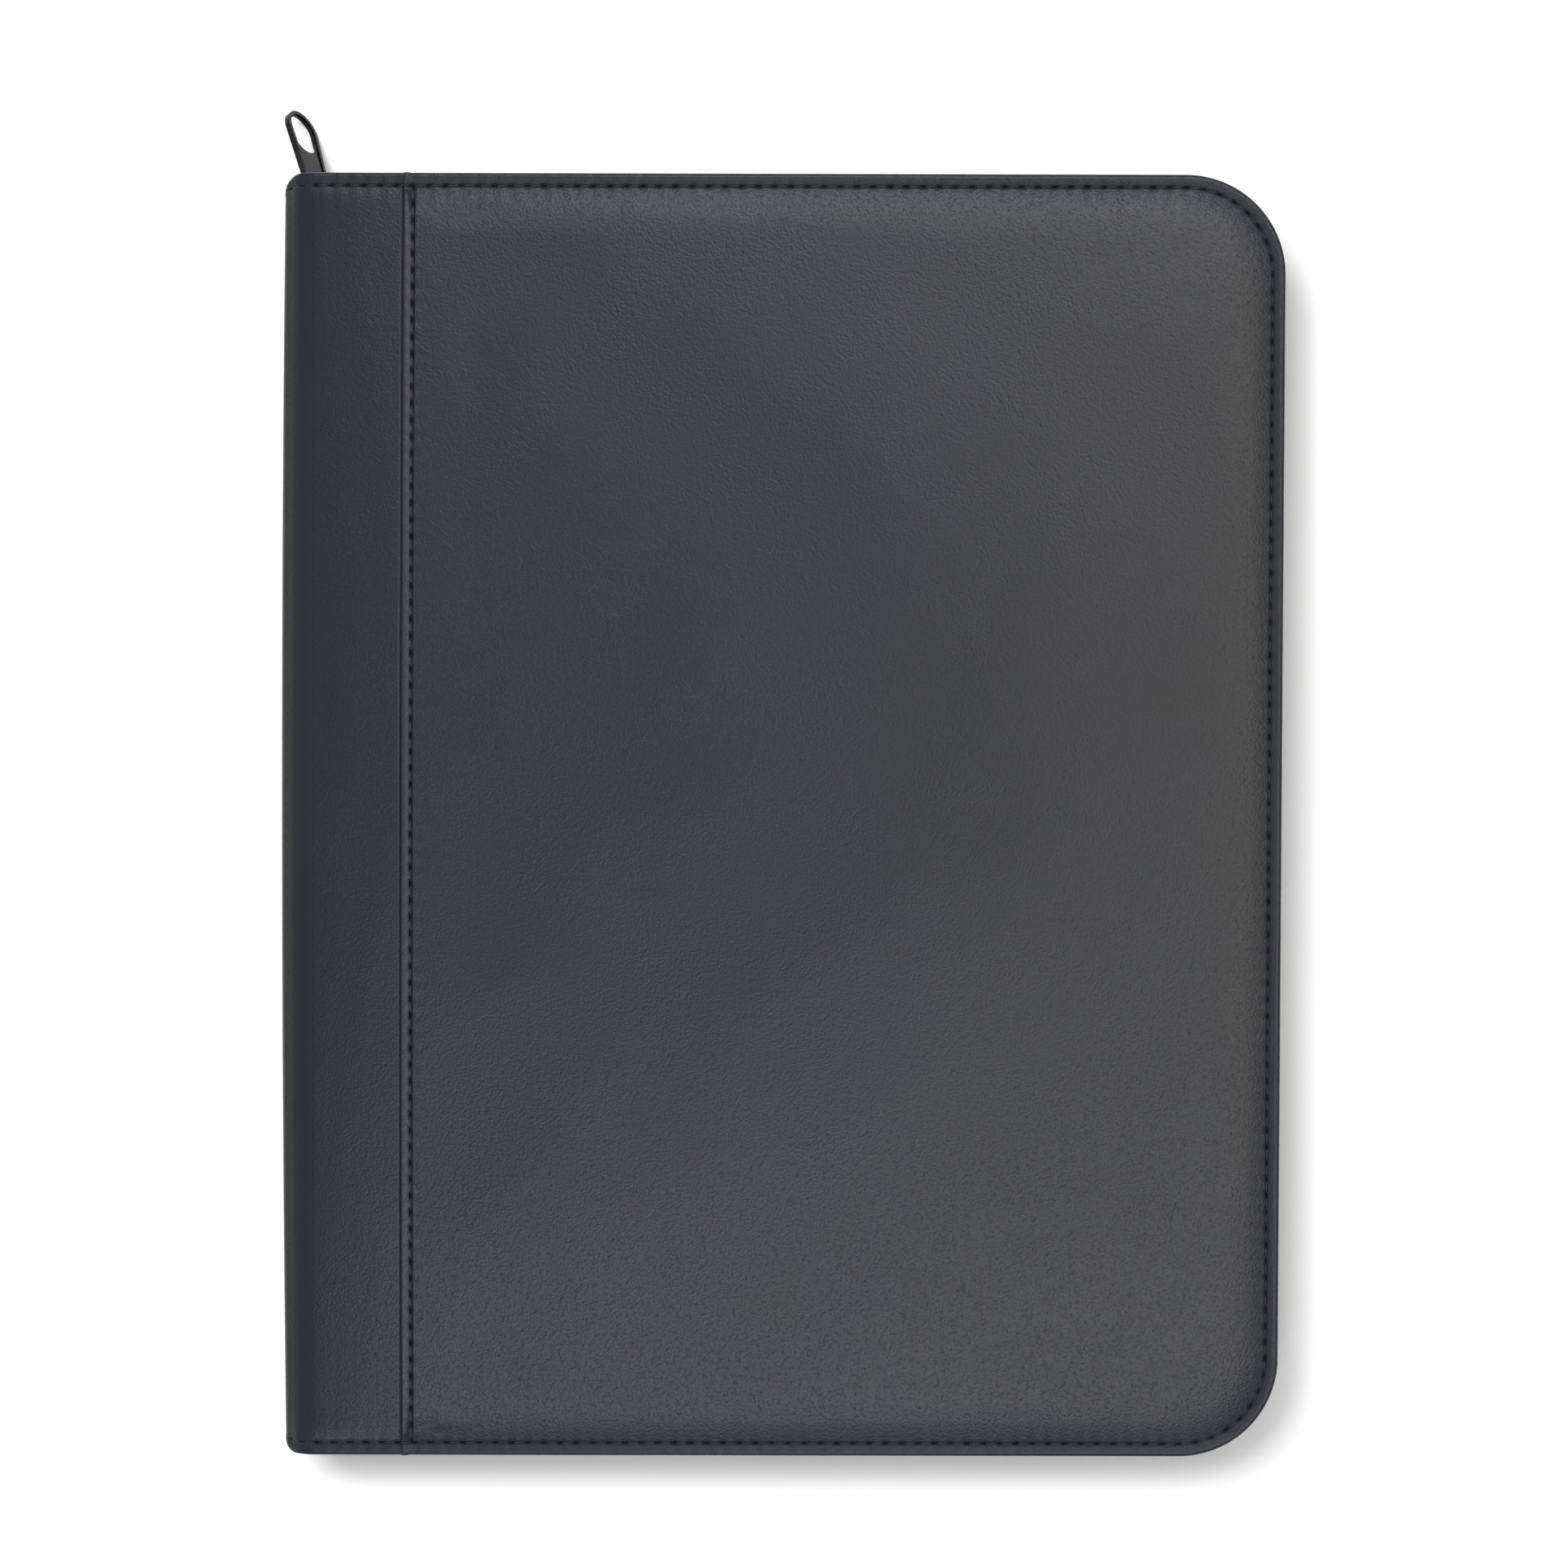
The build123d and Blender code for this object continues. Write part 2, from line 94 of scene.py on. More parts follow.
class Side(Enum):
    """The cover that a piece belongs to."""

    FRONT = "front"
    BACK = "back"

    @property
    def body(self) -> str:
        """Name of the cover's body."""
        return f"{self.value}_cover"

    @property
    def up(self) -> float:
        """Which way the cover's outer face looks along z."""
        return 1.0 if self is Side.FRONT else -1.0

    def height(self, depth: Any) -> Any:
        """Height of points at a depth below the cover's outer face."""
        return THICKNESS - depth if self is Side.FRONT else depth


def smooth(value: Any, low: float, high: float) -> Any:
    """Eased step of a value from 0 at low to 1 at high.

    Args:
        value: Number or array to read.
        low: Where the step starts.
        high: Where the step ends.

    Returns:
        The eased share, from 0 to 1.
    """
    t = np.clip((value - low) / (high - low), 0.0, 1.0)
    return t * t * (3.0 - 2.0 * t)


def hump(value: Any, centre: float, width: float) -> Any:
    """Bell curve of a value round a centre."""
    return np.exp(-(((value - centre) / width) ** 2) / 2)


def swell(x: np.ndarray, y: np.ndarray, wave: float, seed: int) -> np.ndarray:
    """Smooth random swell of a soft surface.

    Args:
        x: Places along x.
        y: Places along y.
        wave: Usual length of a wave.
        seed: Seed of the random draw.

    Returns:
        Heights between about -1 and 1.
    """
    rng = np.random.default_rng(seed)
    waves = 7
    total = np.zeros(np.broadcast(x, y).shape)
    for _ in range(waves):
        angle, phase = rng.uniform(0.0, math.tau, 2)
        number = math.tau / (wave * rng.uniform(0.7, 1.6))
        total = total + np.sin(number * (x * math.cos(angle) + y * math.sin(angle)) + phase)
    return total * 1.6 / waves


@dataclass
class Patch:
    """Part of a mesh: points, faces, and each point's place along and across the cloth and its share of
    painted shade.
    """

    points: np.ndarray
    faces: list
    run: np.ndarray

    @staticmethod
    def grid(
        points: np.ndarray, closed: bool = False, flip: bool = False, caps: bool = False, painted_shade: Any = 0.0
    ) -> "Patch":
        """Quads over rows and columns of points.

        Args:
            points: Array of rows by columns by three.
            closed: Whether the last column joins the first.
            flip: Whether the faces look the other way.
            caps: Whether the first and the last row are closed by a face.
            painted_shade: Share of painted shade, for all points or for each of them.

        Returns:
            The patch, with its run measured along the columns and across the rows.
        """
        rows, columns = points.shape[:2]
        index = np.arange(rows * columns).reshape(rows, columns)
        wrapped = np.hstack([index, index[:, :1]]) if closed else index
        corners = [wrapped[:-1, :-1], wrapped[:-1, 1:], wrapped[1:, 1:], wrapped[1:, :-1]]
        faces = np.stack(corners, axis=-1).reshape(-1, 4).tolist()
        if caps:
            faces.append(index[0, ::-1].tolist())
            faces.append(index[-1].tolist())
        if flip:
            faces = [face[::-1] for face in faces]
        run = np.zeros((rows, columns, 3))
        run[:, 1:, 0] = np.cumsum(np.linalg.norm(np.diff(points, axis=1), axis=2), axis=1)
        run[1:, :, 1] = np.cumsum(np.linalg.norm(np.diff(points, axis=0), axis=2), axis=0)
        run[..., 2] = painted_shade
        return Patch(points.reshape(-1, 3), faces, run.reshape(-1, 3))


def sewn(
    name: str, patches: Sequence[Patch], finish: "Finish", weld: bool = False, crease: float = 52.0
) -> bpy.types.Object:
    """Makes one piece from its patches.

    Args:
        name: Name of the piece.
        patches: Parts of its mesh.
        finish: Finish of its whole surface.
        weld: Whether points that meet are joined.
        crease: Angle in degrees above which an edge is sharp.

    Returns:
        The new object, at the origin of the frame.
    """
    offsets = np.cumsum([0] + [len(patch.points) for patch in patches])
    points = np.concatenate([patch.points for patch in patches]) * MM
    faces = []
    for patch, start in zip(patches, offsets.tolist()):
        faces += [[i + start for i in face] for face in patch.faces]
    mesh = bpy.data.meshes.new(name)
    mesh.from_pydata(points.tolist(), [], faces)
    # The third value of the run is the share of painted shade, kept unscaled.
    run = np.concatenate([patch.run for patch in patches]) * (MM, MM, 1.0)
    attribute = mesh.attributes.new("run", "FLOAT_VECTOR", "POINT")
    attribute.data.foreach_set("vector", run.astype(np.float32).ravel())
    if weld:
        work = bmesh.new()
        work.from_mesh(mesh)
        bmesh.ops.remove_doubles(work, verts=work.verts, dist=1e-7)
        work.to_mesh(mesh)
        work.free()
    mesh.polygons.foreach_set("use_smooth", [True] * len(mesh.polygons))
    mesh.set_sharp_from_angle(angle=math.radians(crease))
    mesh.materials.append(finish.dress())
    mesh.update()
    piece = bpy.data.objects.new(name, mesh)
    bpy.context.scene.collection.objects.link(piece)
    return piece


def zipped(first: Sequence[int], second: Sequence[int], a: np.ndarray, b: np.ndarray) -> list:
    """Triangles between two lines of points that run side by side.

    Args:
        first: Numbers of the points of the first line.
        second: Numbers of the points of the second line.
        a: Place of each point of the first line, rising.
        b: Place of each point of the second line, rising.

    Returns:
        Faces as lists of point numbers.
    """
    faces = []
    i = j = 0
    while i < len(first) - 1 or j < len(second) - 1:
        if j == len(second) - 1 or (i < len(first) - 1 and a[i + 1] <= b[j + 1]):
            faces.append([int(first[i]), int(first[i + 1]), int(second[j])])
            i += 1
        else:
            faces.append([int(first[i]), int(second[j + 1]), int(second[j])])
            j += 1
    return faces


@dataclass(frozen=True)
class CoverPlan:
    """Outline of a cover, open at the spine, walked from its lower left end to its upper left end."""

    left: float
    legs: int
    corners: int
    tall: int

    @property
    def columns(self) -> int:
        """Number of points of a loop."""
        return 2 * self.legs + 2 * self.corners + self.tall + 1

    def loop(self, inset: float) -> np.ndarray:
        """Loop set in from the cover's edge.

        Args:
            inset: Distance from the edge.

        Returns:
            Array of x and y, one row for each column of a grid.
        """
        radius = max(CORNER - inset, min(0.3, TOP - inset))
        turn_x = RIGHT - inset - radius
        turn_y = TOP - inset - radius
        angles = np.linspace(-math.pi / 2, 0.0, self.corners + 1)
        leg = np.linspace(self.left, turn_x, self.legs + 1)
        bottom = np.column_stack([leg, np.full(len(leg), inset - TOP)])
        curve = np.column_stack([turn_x + radius * np.cos(angles), radius * np.sin(angles) - turn_y])
        rise = np.linspace(-turn_y, turn_y, self.tall + 1)
        side = np.column_stack([np.full(len(rise), RIGHT - inset), rise])
        half = np.concatenate([bottom, curve[1:]])
        upper = half[::-1] * (1.0, -1.0)
        return np.concatenate([half, side[1:-1], upper])

    def surface(self, rows: np.ndarray) -> np.ndarray:
        """Grid of x and y over loops at several insets."""
        return np.stack([self.loop(inset) for inset in rows])


@dataclass(frozen=True)
class BoxPlan:
    """Rectangular outline with rounded corners, walked once round from its lower left corner."""

    x0: float
    x1: float
    y0: float
    y1: float
    round_low: float = 1.0
    round_high: float = 1.0
    step: float = 4.0
    corner_points: int = 7

    def loop(self, inset: float) -> np.ndarray:
        """Closed loop set in from the edges.

        Args:
            inset: Distance from the edges.

        Returns:
            Array of x and y, one row for each column of a grid.
        """
        centre = np.array([self.x0 + self.x1, self.y0 + self.y1]) / 2
        full = np.array([self.x1 - self.x0, self.y1 - self.y0])
        half = np.maximum(full / 2 - inset, 0.01)
        counts = np.maximum(np.round(full / self.step).astype(int), 4)
        signs = ((-1, -1), (1, -1), (1, 1), (-1, 1))
        rounds = (self.round_low, self.round_low, self.round_high, self.round_high)
        arcs = []
        for number, (sign, radius) in enumerate(zip(signs, rounds)):
            r = min(max(radius - inset, 0.15), float(half.min()))
            angles = math.pi + math.pi / 2 * (number + np.linspace(0.0, 1.0, self.corner_points))
            bend = r * np.column_stack([np.cos(angles), np.sin(angles)])
            arcs.append(centre + np.array(sign) * (half - r) + bend)
        points = []
        for number, arc in enumerate(arcs):
            after = arcs[(number + 1) % 4][0]
            shares = np.linspace(0.0, 1.0, counts[number % 2] + 1)[1:-1, None]
            points += [arc, arc[-1] + (after - arc[-1]) * shares]
        return np.concatenate(points)

    def surface(self, rows: np.ndarray) -> np.ndarray:
        """Grid of x and y over loops at several insets."""
        return np.stack([self.loop(inset) for inset in rows])

    def pouch(self, inset: float) -> np.ndarray:
        """Line down the left side, across the foot and up the right side.

        Args:
            inset: Distance from the edges.

        Returns:
            Array of x and y.
        """
        ring = self.loop(inset)
        full = np.array([self.x1 - self.x0, self.y1 - self.y0])
        counts = np.maximum(np.round(full / self.step).astype(int), 4) - 1
        foot = 2 * self.corner_points + counts[0]
        return np.concatenate([ring[-counts[1]:], ring[:foot + counts[1]]])


class Wiring:
    """Places nodes in one node tree and joins their sockets."""

    def __init__(self, tree: bpy.types.NodeTree) -> None:
        """Takes the tree that the nodes go into."""
        self.tree = tree

    def feed(self, socket: bpy.types.NodeSocket, value: Any) -> None:
        """Links a socket to another, or sets its value.

        Args:
            socket: Input to feed.
            value: Output to link, or value to set.
        """
        if isinstance(value, bpy.types.NodeSocket):
            self.tree.links.new(value, socket)
        else:
            socket.default_value = value

    def add(self, kind: str, inputs: dict | None = None, **settings: Any) -> bpy.types.Node:
        """Adds one node.

        Args:
            kind: Type of the node, without its ShaderNode start.
            inputs: Values or sockets by the name or number of an input.
            settings: Properties of the node.

        Returns:
            The new node.
        """
        node = self.tree.nodes.new("ShaderNode" + kind)
        for key, value in settings.items():
            setattr(node, key, value)
        for key, value in (inputs or {}).items():
            self.feed(node.inputs[key], value)
        return node

    def math(self, operation: str, first: Any, second: Any = 0.0) -> bpy.types.NodeSocket:
        """Result of one sum on two values."""
        return self.add("Math", {0: first, 1: second}, operation=operation).outputs[0]

    def noise(self, vector: Any, scale: Any, detail: float = 3.0) -> bpy.types.NodeSocket:
        """Value of a noise texture."""
        return self.add("TexNoise", {"Vector": vector, "Scale": scale, "Detail": detail}).outputs["Fac"]

    def pebbles(self, vector: Any, scale: Any) -> bpy.types.NodeSocket:
        """Height of round pebbles, 1 at their tops."""
        node = self.add("TexVoronoi", {"Vector": vector, "Scale": scale}, feature="F1")
        return self.math("SUBTRACT", 1.0, self.math("POWER", node.outputs["Distance"], 2.0))

    def span(
        self, value: Any, low: float, high: float, start: Any = 0.0, end: Any = 1.0
    ) -> bpy.types.NodeSocket:
        """Value carried from one range to another and kept inside it."""
        inputs = {"Value": value, "From Min": low, "From Max": high, "To Min": start, "To Max": end}
        return self.add("MapRange", inputs).outputs[0]

    def blend(self, share: Any, first: Any, second: Any) -> bpy.types.NodeSocket:
        """Mix of two colours."""
        return self.add("Mix", {0: share, 6: first, 7: second}, data_type="RGBA").outputs[2]

    def place(self) -> bpy.types.NodeSocket:
        """Place on the piece, in the frame of its body."""
        return self.add("TexCoord").outputs["Object"]

    def run(self) -> bpy.types.NodeSocket:
        """Place along and across the cloth."""
        return self.add("Attribute", attribute_name="run").outputs["Vector"]

    def painted_shade(self) -> bpy.types.NodeSocket:
        """Share of painted shade on edges, in grooves and in needle holes."""
        return self.add("SeparateXYZ", {0: self.run()}).outputs["Z"]

    def bump(self, height: Any, distance: float) -> bpy.types.NodeSocket:
        """Normal raised by a height of so many metres."""
        inputs = {"Height": height, "Distance": distance, "Strength": 1.0}
        return self.add("Bump", inputs).outputs["Normal"]

    def effect(self, tree: bpy.types.NodeTree, **inputs: Any) -> bpy.types.Node:
        """Places a shared effect with its own values.

        Args:
            tree: Node group of the effect.
            inputs: Values or sockets by the name of an input.

        Returns:
            The group's node.
        """
        node = self.add("Group", node_tree=tree)
        for key, value in inputs.items():
            self.feed(node.inputs[key], value)
        return node


class Effects:
    """Node groups that several finishes share, each built once."""

    VALUE = "NodeSocketFloat"
    VECTOR = "NodeSocketVector"

    @classmethod
    def group(cls, name: str, inputs: dict, outputs: Sequence[str], fill: Callable) -> bpy.types.NodeTree:
        """Finds or makes a node group.

        Args:
            name: Name of the group.
            inputs: Type and start value of each input by name.
            outputs: Names of the values that it puts out.
            fill: Function that takes the wiring and the inputs and returns the outputs.

        Returns:
            The group's node tree.
        """
        known = bpy.data.node_groups.get(name)
        if known:
            return known
        tree = bpy.data.node_groups.new(name, "ShaderNodeTree")
        for key, (kind, value) in inputs.items():
            socket = tree.interface.new_socket(key, in_out="INPUT", socket_type=kind)
            if value is not None:
                socket.default_value = value
        for key in outputs:
            tree.interface.new_socket(key, in_out="OUTPUT", socket_type=cls.VALUE)
        entry = tree.nodes.new("NodeGroupInput")
        leave = tree.nodes.new("NodeGroupOutput")
        results = fill(Wiring(tree), {key: entry.outputs[key] for key in inputs})
        for key in outputs:
            tree.links.new(results[key], leave.inputs[key])
        return tree

    @classmethod
    def grain(cls) -> bpy.types.NodeTree:
        """Pebbled leather grain with fine creases.

        Returns:
            The effect's node group.
        """

        def fill(w: Wiring, given: dict) -> dict:
            """Wires the group.

            Args:
                w: Wiring of the group.
                given: Inputs of the group by name.

            Returns:
                Outputs of the group by name.
            """
            cloud = {"Vector": given["Vector"], "Scale": 160.0, "Detail": 2.0}
            warp = w.add("TexNoise", cloud).outputs["Color"]
            reach = (0.0022, 0.0022, 0.0022)
            shift = w.add("VectorMath", {0: warp, 1: reach}, operation="MULTIPLY").outputs[0]
            bent = w.add("VectorMath", {0: given["Vector"], 1: shift}, operation="ADD").outputs[0]
            lie = {"Vector": bent, "Rotation": (0.0, 0.0, math.radians(-42.0)), "Scale": (1.04, 1.0, 1.0)}
            drawn = w.add("Mapping", lie, vector_type="TEXTURE").outputs[0]
            pebble = w.pebbles(drawn, given["Scale"])
            coarse = w.noise(drawn, w.math("MULTIPLY", given["Scale"], 0.36), 2.0)
            fine = w.noise(drawn, w.math("MULTIPLY", given["Scale"], 0.9), 2.0)
            patchy = w.span(w.noise(given["Vector"], 45.0, 2.0), 0.3, 0.7, 0.6, 1.0)
            crease = w.math("MULTIPLY", w.math("SUBTRACT", 1.0, coarse), given["Creases"])
            body = w.math("ADD", w.math("MULTIPLY", pebble, 0.8), w.math("MULTIPLY", fine, 0.8))
            height = w.math("MULTIPLY", w.math("SUBTRACT", body, crease), patchy)
            tone = w.math("ADD", w.math("MULTIPLY", pebble, 0.5), w.math("MULTIPLY", fine, 0.5))
            return {"Height": height, "Tone": tone}

        inputs = {"Vector": (cls.VECTOR, None), "Scale": (cls.VALUE, 900.0), "Creases": (cls.VALUE, 0.3)}
        return cls.group("leather_grain", inputs, ("Height", "Tone"), fill)

    @classmethod
    def mottle(cls) -> bpy.types.NodeTree:
        """Broad, cloudy change of shade over a surface.

        Returns:
            The effect's node group.
        """

        def fill(w: Wiring, given: dict) -> dict:
            """Wires the group.

            Args:
                w: Wiring of the group.
                given: Inputs of the group by name.

            Returns:
                Outputs of the group by name.
            """
            broad = w.noise(given["Vector"], given["Scale"], 2.0)
            close = w.noise(given["Vector"], w.math("MULTIPLY", given["Scale"], 9.0), 3.0)
            both = w.math("ADD", w.math("MULTIPLY", broad, 0.7), w.math("MULTIPLY", close, 0.3))
            return {"Shade": w.span(both, 0.32, 0.68)}

        inputs = {"Vector": (cls.VECTOR, None), "Scale": (cls.VALUE, 12.0)}
        return cls.group("cloudy_shade", inputs, ("Shade",), fill)

    @classmethod
    def ridges_and_hollows(cls) -> bpy.types.NodeTree:
        """Rubbed ridges, and hollows for painted shade, broken up by noise.

        Returns:
            The effect's node group.
        """

        def fill(w: Wiring, given: dict) -> dict:
            """Wires the group.

            Args:
                w: Wiring of the group.
                given: Inputs of the group by name.

            Returns:
                Outputs of the group by name.
            """
            point = w.add("NewGeometry").outputs["Pointiness"]
            speck = w.span(w.noise(given["Vector"], given["Scale"], 4.0), 0.3, 0.7, 0.25, 1.0)
            ridge = w.math("MULTIPLY", w.span(point, 0.51, 0.58), speck)
            # Painted shade in hollows.
            hollow = w.math("MULTIPLY", w.span(point, 0.49, 0.42), speck)
            return {"Ridge": ridge, "Hollow": hollow}

        inputs = {"Vector": (cls.VECTOR, None), "Scale": (cls.VALUE, 400.0)}
        return cls.group("worn_ridges_and_shaded_hollows", inputs, ("Ridge", "Hollow"), fill)

    @classmethod
    def weave(cls) -> bpy.types.NodeTree:
        """Plain weave of warp and weft threads.

        Returns:
            The effect's node group.
        """

        def fill(w: Wiring, given: dict) -> dict:
            """Wires the group.

            Args:
                w: Wiring of the group.
                given: Inputs of the group by name.

            Returns:
                Outputs of the group by name.
            """
            split = w.add("SeparateXYZ", {0: given["Vector"]})
            warp = w.math("MULTIPLY", split.outputs["X"], given["Warp"])
            weft = w.math("MULTIPLY", split.outputs["Y"], given["Weft"])
            cells = w.math("ADD", w.math("FLOOR", warp), w.math("FLOOR", weft))
            over = w.math("PINGPONG", cells, 1.0)
            along = w.math("ABSOLUTE", w.math("SINE", w.math("MULTIPLY", warp, math.pi)))
            cross = w.math("ABSOLUTE", w.math("SINE", w.math("MULTIPLY", weft, math.pi)))
            high = w.math("MULTIPLY", along, over)
            low = w.math("MULTIPLY", cross, w.math("SUBTRACT", 1.0, over))
            height = w.math("ADD", high, low)
            fuzz = w.noise(given["Vector"], w.math("MULTIPLY", given["Warp"], 1.7), 3.0)
            rough = w.math("ADD", height, w.math("MULTIPLY", fuzz, 0.35))
            return {"Height": rough, "Over": over, "Fuzz": fuzz}

        inputs = {"Vector": (cls.VECTOR, None), "Warp": (cls.VALUE, 1800.0), "Weft": (cls.VALUE, 1800.0)}
        return cls.group("plain_weave", inputs, ("Height", "Over", "Fuzz"), fill)


Colour = tuple[float, float, float]


def opaque(colour: Colour, share: float = 1.0) -> tuple[float, float, float, float]:
    """A colour, made lighter or darker by a share, as a socket takes it."""
    return (colour[0] * share, colour[1] * share, colour[2] * share, 1.0)


@dataclass(frozen=True)
class Finish:
    """Look of one material; each kind of finish wires its own nodes."""

    name: str
    colour: Colour
    roughness: float = 0.5
    specular: float = 0.5

    def dress(self) -> bpy.types.Material:
        """The finish as a material, made on first use.

        Returns:
            The material.
        """
        title = "finish_" + self.name
        known = bpy.data.materials.get(title)
        if known:
            return known
        material = bpy.data.materials.new(title)
        material.use_nodes = True
        shader = material.node_tree.nodes["Principled BSDF"]
        shader.inputs["Specular IOR Level"].default_value = self.specular
        self.wire(Wiring(material.node_tree), shader)
        return material

    def wire(self, w: Wiring, shader: bpy.types.Node) -> None:
        """Joins the finish's nodes to its shader; each kind of finish has its own way."""
        raise NotImplementedError


@dataclass(frozen=True)
class LeatherFinish(Finish):
    """Pebbled leather cloth: cloudy shade, fine grain, worn ridges, and painted shade in hollows, grooves,
    needle holes and on edges.
    """

    grain: float = 1500.0
    creases: float = 0.3
    depth: float = 0.00005

    def wire(self, w: Wiring, shader: bpy.types.Node) -> None:
        """Joins the finish's nodes to its shader.

        Args:
            w: Wiring of the material.
            shader: Shader of the material.
        """
        place = w.place()
        grain = w.effect(Effects.grain(), Vector=place, Scale=self.grain, Creases=self.creases)
        cloud = w.effect(Effects.mottle(), Vector=place, Scale=11.0)
        ridges_and_hollows = w.effect(Effects.ridges_and_hollows(), Vector=place, Scale=500.0)
        base = w.blend(cloud.outputs["Shade"], opaque(self.colour, 0.88), opaque(self.colour, 1.1))
        valley = w.blend(w.span(grain.outputs["Tone"], 0.15, 0.6), opaque(self.colour, 0.7), base)
        worn_ridge_and_fold_shade = w.blend(w.math("MULTIPLY", ridges_and_hollows.outputs["Ridge"], 0.3), valley, opaque(self.colour, 1.9))
        # Painted shade in the mesh's hollows.
        hollow_painted_shade = w.blend(w.math("MULTIPLY", ridges_and_hollows.outputs["Hollow"], 0.6), worn_ridge_and_fold_shade, opaque(self.colour, 0.3))
        # Painted shade from the mesh: edges, grooves, needle holes and the spine's fold turn dark and
        # rough.
        painted_shade = w.painted_shade()
        w.feed(shader.inputs["Base Color"], w.blend(painted_shade, hollow_painted_shade, opaque(self.colour, 0.08)))
        gloss = w.span(grain.outputs["Tone"], 0.1, 0.8, self.roughness + 0.12, self.roughness - 0.05)
        w.feed(shader.inputs["Roughness"], w.math("ADD", gloss, w.math("MULTIPLY", painted_shade, 0.55)))
        w.feed(shader.inputs["Normal"], w.bump(grain.outputs["Height"], self.depth))


@dataclass(frozen=True)
class ClothFinish(Finish):
    """Woven cloth: threads over and under, with a cloudy shade."""

    warp: float = 1700.0
    weft: float = 1700.0
    depth: float = 0.00012
    contrast: float = 0.35
    follows_run: bool = False
    sheen: float = 0.15

    def wire(self, w: Wiring, shader: bpy.types.Node) -> None:
        """Joins the finish's nodes to its shader.

        Args:
            w: Wiring of the material.
            shader: Shader of the material.
        """
        place = w.place()
        lie = w.run() if self.follows_run else place
        weave = w.effect(Effects.weave(), Vector=lie, Warp=self.warp, Weft=self.weft)
        cloud = w.effect(Effects.mottle(), Vector=place, Scale=25.0)
        base = w.blend(cloud.outputs["Shade"], opaque(self.colour, 0.82), opaque(self.colour, 1.15))
        shade = w.span(weave.outputs["Height"], 0.1, 1.1)
        deep = w.blend(shade, opaque(self.colour, 1.0 - self.contrast), base)
        w.feed(shader.inputs["Base Color"], deep)
        rough = w.span(weave.outputs["Fuzz"], 0.2, 0.8, self.roughness, self.roughness + 0.12)
        w.feed(shader.inputs["Roughness"], rough)
        w.feed(shader.inputs["Normal"], w.bump(weave.outputs["Height"], self.depth))
        shader.inputs["Sheen Weight"].default_value = self.sheen
        shader.inputs["Sheen Roughness"].default_value = 0.5


@dataclass(frozen=True)
class ThreadFinish(Finish):
    """Twisted sewing thread."""

    twist: float = 2300.0
    depth: float = 0.00003

    def wire(self, w: Wiring, shader: bpy.types.Node) -> None:
        """Joins the finish's nodes to its shader.

        Args:
            w: Wiring of the material.
            shader: Shader of the material.
        """
        split = w.add("SeparateXYZ", {0: w.run()})
        slant = w.math("ADD", split.outputs["X"], w.math("MULTIPLY", split.outputs["Y"], 0.8))
        ply = w.math("ABSOLUTE", w.math("SINE", w.math("MULTIPLY", slant, self.twist * math.pi)))
        fibre = w.noise(w.place(), 4000.0, 3.0)
        shade = w.math("ADD", w.math("MULTIPLY", ply, 0.7), w.math("MULTIPLY", fibre, 0.3))
        twisted = w.blend(shade, opaque(self.colour, 0.5), opaque(self.colour, 1.3))
        w.feed(shader.inputs["Base Color"], twisted)
        rough = w.span(fibre, 0.3, 0.7, self.roughness - 0.08, self.roughness + 0.1)
        w.feed(shader.inputs["Roughness"], rough)
        w.feed(shader.inputs["Normal"], w.bump(ply, self.depth))


@dataclass(frozen=True)
class EnamelFinish(Finish):
    """Enamelled metal: a slightly uneven coat, worn through to metal on its ridges."""

    metal: Colour = (0.28, 0.28, 0.29)
    rub: float = 0.35
    peel: float = 0.00002

    def wire(self, w: Wiring, shader: bpy.types.Node) -> None:
        """Joins the finish's nodes to its shader.

        Args:
            w: Wiring of the material.
            shader: Shader of the material.
        """
        place = w.place()
        ridges_and_hollows = w.effect(Effects.ridges_and_hollows(), Vector=place, Scale=900.0)
        cloud = w.effect(Effects.mottle(), Vector=place, Scale=160.0)
        bare = w.math("MULTIPLY", ridges_and_hollows.outputs["Ridge"], self.rub)
        coat = w.blend(cloud.outputs["Shade"], opaque(self.colour, 0.8), opaque(self.colour, 1.25))
        w.feed(shader.inputs["Base Color"], w.blend(bare, coat, opaque(self.metal)))
        w.feed(shader.inputs["Metallic"], bare)
        rough = w.span(cloud.outputs["Shade"], 0.0, 1.0, self.roughness - 0.06, self.roughness + 0.08)
        w.feed(shader.inputs["Roughness"], rough)
        w.feed(shader.inputs["Normal"], w.bump(w.noise(place, 1400.0, 2.0), self.peel))


